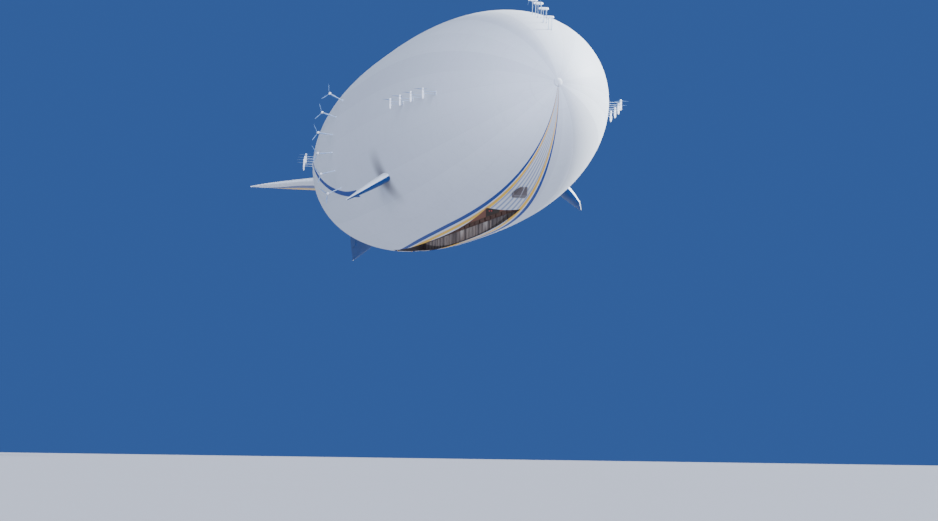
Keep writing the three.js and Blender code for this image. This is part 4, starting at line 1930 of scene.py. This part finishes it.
@dataclass
class Propulsion:
    """All rows of propulsion units."""

    flank: Unit = Unit(length=0.160, radius=0.019, blade_radius=0.155, struts=(0.022, 0.062))
    top: Unit = Unit(length=0.135, radius=0.024, blade_radius=0.155, struts=(-0.030, 0.030))
    arc: Unit = Unit(length=0.090, radius=0.026, blade_radius=0.195, struts=(0.0,), phase_deg=60.0)
    fore_stations: tuple[float, ...] = (4.450, 4.890, 5.330, 5.770)
    aft_stations: tuple[float, ...] = (-3.360, -3.780, -4.200, -4.620)
    top_stations: tuple[float, ...] = (6.130, 6.460, 6.780, 7.090)
    fore_standoff: float = 0.240
    aft_standoff: float = 0.200
    top_standoffs: tuple[float, ...] = (0.262, 0.260, 0.250, 0.220)
    top_y: float = 0.075
    arc_station: float = -0.810
    arc_standoff: float = 0.304
    arc_step_deg: float = 10.3
    arc_count: int = 6
    gap: float = 0.005
    shaft_radius: float = 0.007
    hub_radius: float = 0.018
    hub_length: float = 0.026
    spinner_length: float = 0.016
    strut_width: float = 0.016
    strut_thickness: float = 0.009
    pad_half_width: float = 0.045
    pad_thickness: float = 0.005
    blades: int = 3
    blade_root: float = 0.012
    # Share of the way out, chord, thickness and pitch in degrees.
    blade_sections: tuple[Section, ...] = (
        (0.0, 0.010, 0.009, 42.0), (0.10, 0.011, 0.007, 40.0), (0.25, 0.015, 0.0045, 32.0),
        (0.45, 0.018, 0.0035, 24.0), (0.70, 0.015, 0.0026, 17.0), (0.90, 0.011, 0.0020, 13.0),
        (0.97, 0.008, 0.0015, 12.0), (1.0, 0.003, 0.0010, 12.0))

    def build(self) -> None:
        """Models every row."""
        self._row("top", self.top, self._top_places())
        for side in Side:
            self._row(f"fore_{side.word}", self.flank,
                      self._flank_places(self.fore_stations, self.fore_standoff, side))
            self._row(f"aft_{side.word}", self.flank,
                      self._flank_places(self.aft_stations, self.aft_standoff, side))
            self._row(f"arc_{side.word}", self.arc, self._arc_places(side))

    def _flank_places(self, stations: Sequence[float], standoff: float,
                      side: Side) -> list[UnitPlace]:
        """Places a row on one flank, shafts up."""
        out = AXIS_Y * side.value
        return [UnitPlace(Vector((x, 0, 0)) + out * (HULL.radius_at(x) + standoff),
                          out, AXIS_Z, standoff) for x in stations]

    def _top_places(self) -> list[UnitPlace]:
        """Places the top row on its legs, shafts to starboard."""
        return [UnitPlace(Vector((x, self.top_y, HULL.radius_at(x) + standoff)),
                          AXIS_Z, -AXIS_Y, standoff)
                for x, standoff in zip(self.top_stations, self.top_standoffs)]

    def _arc_places(self, side: Side) -> list[UnitPlace]:
        """Places an arc round one flank, shafts aft.

        Args:
            side: the flank.

        Returns:
            The units' places, from the top down.
        """
        places = []
        reach = HULL.radius_at(self.arc_station) + self.arc_standoff
        for i in range(self.arc_count):
            rise = math.radians(((self.arc_count - 1) / 2 - i) * self.arc_step_deg)
            out = Vector((0, side.value * math.cos(rise), math.sin(rise)))
            centre = out * reach + AXIS_X * self.arc_station
            places.append(UnitPlace(centre, out, -AXIS_X, self.arc_standoff))
        return places

    def _row(self, name: str, unit: Unit, places: Sequence[UnitPlace]) -> None:
        """Models one row: its pods and struts as one piece, each propeller as its own.

        Args:
            name: the row's name, as the frame's nodes spell it.
            unit: the kind of unit.
            places: where its units stand.
        """
        pod = self._pod(unit)
        propeller = self._propeller(unit)
        parts = []
        for index, place in enumerate(places, 1):
            parts.append(Bench.copy(pod, "pod", place.placed))
            for height in unit.struts:
                parts += (self._strut(place, height), self._pad(place, height))
            node = f"propeller_{name}_{index}"
            ahead = Matrix.Translation((0, 0, unit.length / 2 + self.gap))
            turning = Bench.copy(propeller, node + "_dressed", place.placed @ ahead)
            Bench.finish(turning, node, "blade_grey", [node], smooth_deg=40)
        for pattern in (pod, propeller):
            bpy.data.objects.remove(pattern)
        row = Bench.join(f"pylons_{name}_dressed", parts)
        Bench.finish(row, "airframe", "nacelle_white", [f"pylons_{name}"], smooth_deg=40)

    def _pod(self, unit: Unit) -> Piece:
        """Models a pod along +Z with rounded ends, a seam groove, vents and its shaft.

        Args:
            unit: the kind of unit.

        Returns:
            The dressed pod.
        """
        half, radius = unit.length / 2, unit.radius
        groove = 0.0012
        bends = 9
        rows: list[Row] = [(-half, 0.0)]
        for i in range(1, bends + 1):
            turn = math.pi / 2 * i / bends
            rows.append((-half * (0.42 + 0.58 * math.cos(turn)),
                         radius * 0.97 * math.sin(turn) ** 0.8))
        # Shares of the half length and of the radius, and how deep the seam is sunk.
        rows += [(along * half, wide * radius - sunk) for along, wide, sunk in (
            (0.0, 1.0, 0.0), (0.30, 0.995, 0.0), (0.30, 0.995, groove), (0.34, 0.99, groove),
            (0.34, 0.99, 0.0), (0.80, 0.93, 0.0), (0.93, 0.86, 0.0), (1.0, 0.72, 0.0),
            (1.0, 0.45, 0.0), (0.96, 0.40, 0.0))]
        end = half + self.gap + 0.018
        rows += [(0.96 * half, self.shaft_radius), (end, self.shaft_radius), (end, 0.0)]
        pod = Bench.turned("pod", rows, steps=32)
        Bench.settle(pod, Matrix.Rotation(-math.pi / 2, 4, "Y"))
        Bench.dress(pod, POD_WHITE.material(), VENT_DARK.material(), PIN_STEEL.material())
        Bench.paint(pod, 1, lambda spot: 0.30 * half < spot.place.z < 0.34 * half
                    or (spot.place.z > 0.95 * half and spot.place.xy.length < 0.6 * radius))
        Bench.paint(pod, 2, lambda spot: spot.place.z > half + MM)
        return pod

    def _strut(self, place: UnitPlace, height: float) -> Piece:
        """Models one faired strut, thicker at both ends.

        Args:
            place: the unit that it carries.
            height: how far along the shaft it sits.

        Returns:
            The strut, in place.
        """
        foot = -place.standoff
        # How far out from the pod each section lies, and how much thicker than the strut.
        strut = Bench.drawn("strut", sides=20, sections=[
            (reach, self.strut_thickness * wide, self.strut_width * wide, 0.0)
            for reach, wide in ((foot - 0.05, 2.0), (foot + 0.004, 2.0), (foot + 0.022, 1.15),
                                (foot + 0.05, 1.0), (-0.045, 1.0), (-0.024, 1.2), (-0.006, 1.5))])
        upright = Matrix.Translation((0, 0, height)) @ Matrix.Rotation(math.pi / 2, 4, "Y")
        return Bench.dress(Bench.settle(strut, place.placed @ upright), STRUT_WHITE.material())

    def _pad(self, place: UnitPlace, height: float) -> Piece:
        """Models the oval load pad under a strut's foot.

        Args:
            place: the unit that the strut carries.
            height: how far along the shaft the strut sits.

        Returns:
            The pad, in place on the hull.
        """
        foot = place.placed @ Vector((-place.standoff, 0, height))
        slope = HULL.slope_at(foot.x)
        round_hull = Vector((0, foot.y, foot.z)).normalized()
        facing = round_hull * math.cos(slope) + AXIS_X * math.sin(slope)
        surface = round_hull * HULL.radius_at(foot.x) + AXIS_X * foot.x
        # Height and radius as shares of the pad's thickness and half width.
        rows = ((-3.0, 0.0), (-3.0, 0.6), (0.0, 0.6), (0.6, 0.56), (1.0, 0.48), (1.0, 0.0))
        pad = Bench.turned("pad", [(x * self.pad_thickness, r * self.pad_half_width)
                                   for x, r in rows], steps=28)
        turn = facing.to_track_quat("X", "Z").to_matrix().to_4x4()
        Bench.settle(pad, Matrix.Translation(surface) @ turn)
        return Bench.dress(pad, PAD_WHITE.material())

    def _propeller(self, unit: Unit) -> Piece:
        """Models a three-blade propeller with its spinner along +Z, its back face at zero.

        Args:
            unit: the kind of unit.

        Returns:
            The dressed propeller.
        """
        bore = self.shaft_radius + 0.0005
        bends = 7
        rows: list[Row] = [(0.020, 0.0), (0.020, bore), (0.0, bore), (0.0, 0.9 * self.hub_radius),
                           (0.002, self.hub_radius), (self.hub_length, self.hub_radius)]
        for i in range(1, bends + 1):
            turn = math.pi / 2 * i / bends
            rows.append((self.hub_length + self.spinner_length * math.sin(turn),
                         self.hub_radius * math.cos(turn) if i < bends else 0.0))
        hub = Bench.turned("hub", rows, steps=28)
        Bench.settle(hub, Matrix.Rotation(-math.pi / 2, 4, "Y"))
        Bench.dress(hub, SPINNER_WHITE.material())
        turns = [math.radians(unit.phase_deg) + math.tau / self.blades * i
                 for i in range(self.blades)]
        blades = Bench.spread(self._blade(unit), [Matrix.Rotation(a, 4, "Z") for a in turns])
        return Bench.join("propeller", [hub, *blades])

    def _blade(self, unit: Unit) -> Piece:
        """Models one twisted blade along +X, drawn out from its round root.

        Args:
            unit: the kind of unit.

        Returns:
            The dressed blade.
        """
        run = unit.blade_radius - self.blade_root
        blade = Bench.drawn("blade", sides=16, sections=[
            (self.blade_root + share * run, *size) for share, *size in self.blade_sections])
        forward = Matrix(((0, 0, 1, 0), (1, 0, 0, 0), (0, 1, 0, 0), (0, 0, 0, 1)))
        Bench.settle(blade, Matrix.Translation((0, 0, self.hub_length / 2)) @ forward)
        return Bench.dress(blade, BLADE_GREY.material())


@dataclass(frozen=True)
class Sun:
    """A far light: where it comes from, how strong and wide it is, and its colour."""

    name: str
    come_from: Vector
    strength: float
    width_deg: float
    colour: Triple


@dataclass
class Studio:
    """The pale floor, the lights and the camera."""

    camera_place: Vector = Vector((43.0559, -11.3262, -6.3988))
    camera_right: Vector = Vector((0.26901219, 0.96303358, 0.01409869))
    camera_up: Vector = Vector((0.082648, -0.037666, 0.995867))
    focal_px: float = 2200.0
    image_width_px: float = 938.0
    sensor_mm: float = 36.0
    eye_height: float = 0.05
    floor_size: float = 600.0
    suns: tuple[Sun, ...] = (
        Sun("key_light", Vector((-0.03, 0.89, 0.45)), 17.0, 5.0, (0.95, 1.0, 0.99)),
        Sun("fill_light", Vector((1.0, -0.22, 0.0)), 9.0, 90.0, (0.89, 0.97, 1.20)))
    hold_lights: int = 8
    hold_front: float = 4.2
    hold_rear: float = -2.4
    hold_light_z: float = -1.60
    hold_light_size: float = 0.12
    hold_watts: float = 1.5
    hold_colour: Triple = (1.0, 0.94, 0.90)
    air_light: tuple[float, float, float, float] = (0.28, 0.35, 0.48, 1.0)
    air_seen: tuple[float, float, float, float] = (0.040, 0.104, 0.345, 1.0)

    def build(self) -> None:
        """Sets up the floor, the lights and the camera."""
        self._camera()
        self._floor()
        self._lights()

    def _camera(self) -> None:
        """Stands the camera where the photograph was taken from."""
        lens = self.focal_px / self.image_width_px * self.sensor_mm
        bpy.ops.object.camera_add(location=self.camera_place)
        camera = bpy.context.object
        camera.name = "camera"
        camera.data.sensor_width = self.sensor_mm
        camera.data.lens = lens
        camera.data.clip_end = 2 * self.floor_size
        right = self.camera_right.normalized()
        back = right.cross(self.camera_up).normalized()
        turn = Matrix((right, back.cross(right), back)).transposed().to_4x4()
        camera.matrix_world = Matrix.Translation(self.camera_place) @ turn
        bpy.context.scene.camera = camera

    def _floor(self) -> None:
        """Lays the pale floor just under the camera."""
        height = self.camera_place.z - self.eye_height
        bpy.ops.mesh.primitive_grid_add(size=self.floor_size, location=(0, 0, height))
        floor = Bench.named("studio_floor")
        Bench.dress(floor, Finish("floor_pale", (128, 130, 143), roughness=0.8, ageing=0.02,
                                  cloud_scale=0.2, grime_scale=1.0).material())

    def _lights(self) -> None:
        """Lights the ship from above port and softly from ahead, the hold, and the air."""
        for sun in self.suns:
            lamp = self._lamp("SUN", sun.name, sun.strength, sun.colour)
            lamp.data.angle = math.radians(sun.width_deg)
            lamp.rotation_mode = "QUATERNION"
            lamp.rotation_quaternion = sun.come_from.to_track_quat("Z", "Y")
        for i in range(self.hold_lights):
            share = i / (self.hold_lights - 1)
            x = self.hold_rear + (self.hold_front - self.hold_rear) * share
            lamp = self._lamp("POINT", "hold_light", self.hold_watts, self.hold_colour)
            lamp.location = (x, 0, self.hold_light_z)
            lamp.data.shadow_soft_size = self.hold_light_size
            lamp.visible_camera = False
        world = bpy.data.worlds.new("studio_air")
        bpy.context.scene.world = world
        world.use_nodes = True
        sums = Sums(world.node_tree)
        background = world.node_tree.nodes["Background"]
        seen = sums.node("LightPath").outputs["Is Camera Ray"]
        background.inputs["Strength"].default_value = 1.0
        sums.feed(background.inputs["Color"], sums.mix(seen, self.air_light, self.air_seen))

    @staticmethod
    def _lamp(kind: str, name: str, strength: float, colour: Triple) -> Piece:
        """Adds a light.

        Args:
            kind: the light's type.
            name: its plain name.
            strength: how strong it is.
            colour: its colour.

        Returns:
            The light.
        """
        bpy.ops.object.light_add(type=kind)
        lamp = bpy.context.object
        lamp.name = name
        lamp.data.energy = strength
        lamp.data.color = colour
        return lamp


def main() -> None:
    """Builds the ship and its studio in order, and reports each piece."""
    logging.basicConfig(level=logging.INFO, format="%(name)s %(message)s")
    Studio().build()
    hold, cockpit = CargoHold(), Cockpit()
    HullSkin().build(hold, cockpit)
    Ends().build()
    hold.build()
    cockpit.build()
    Fins().build()
    Propulsion().build()


if __name__ == "__main__":
    main()
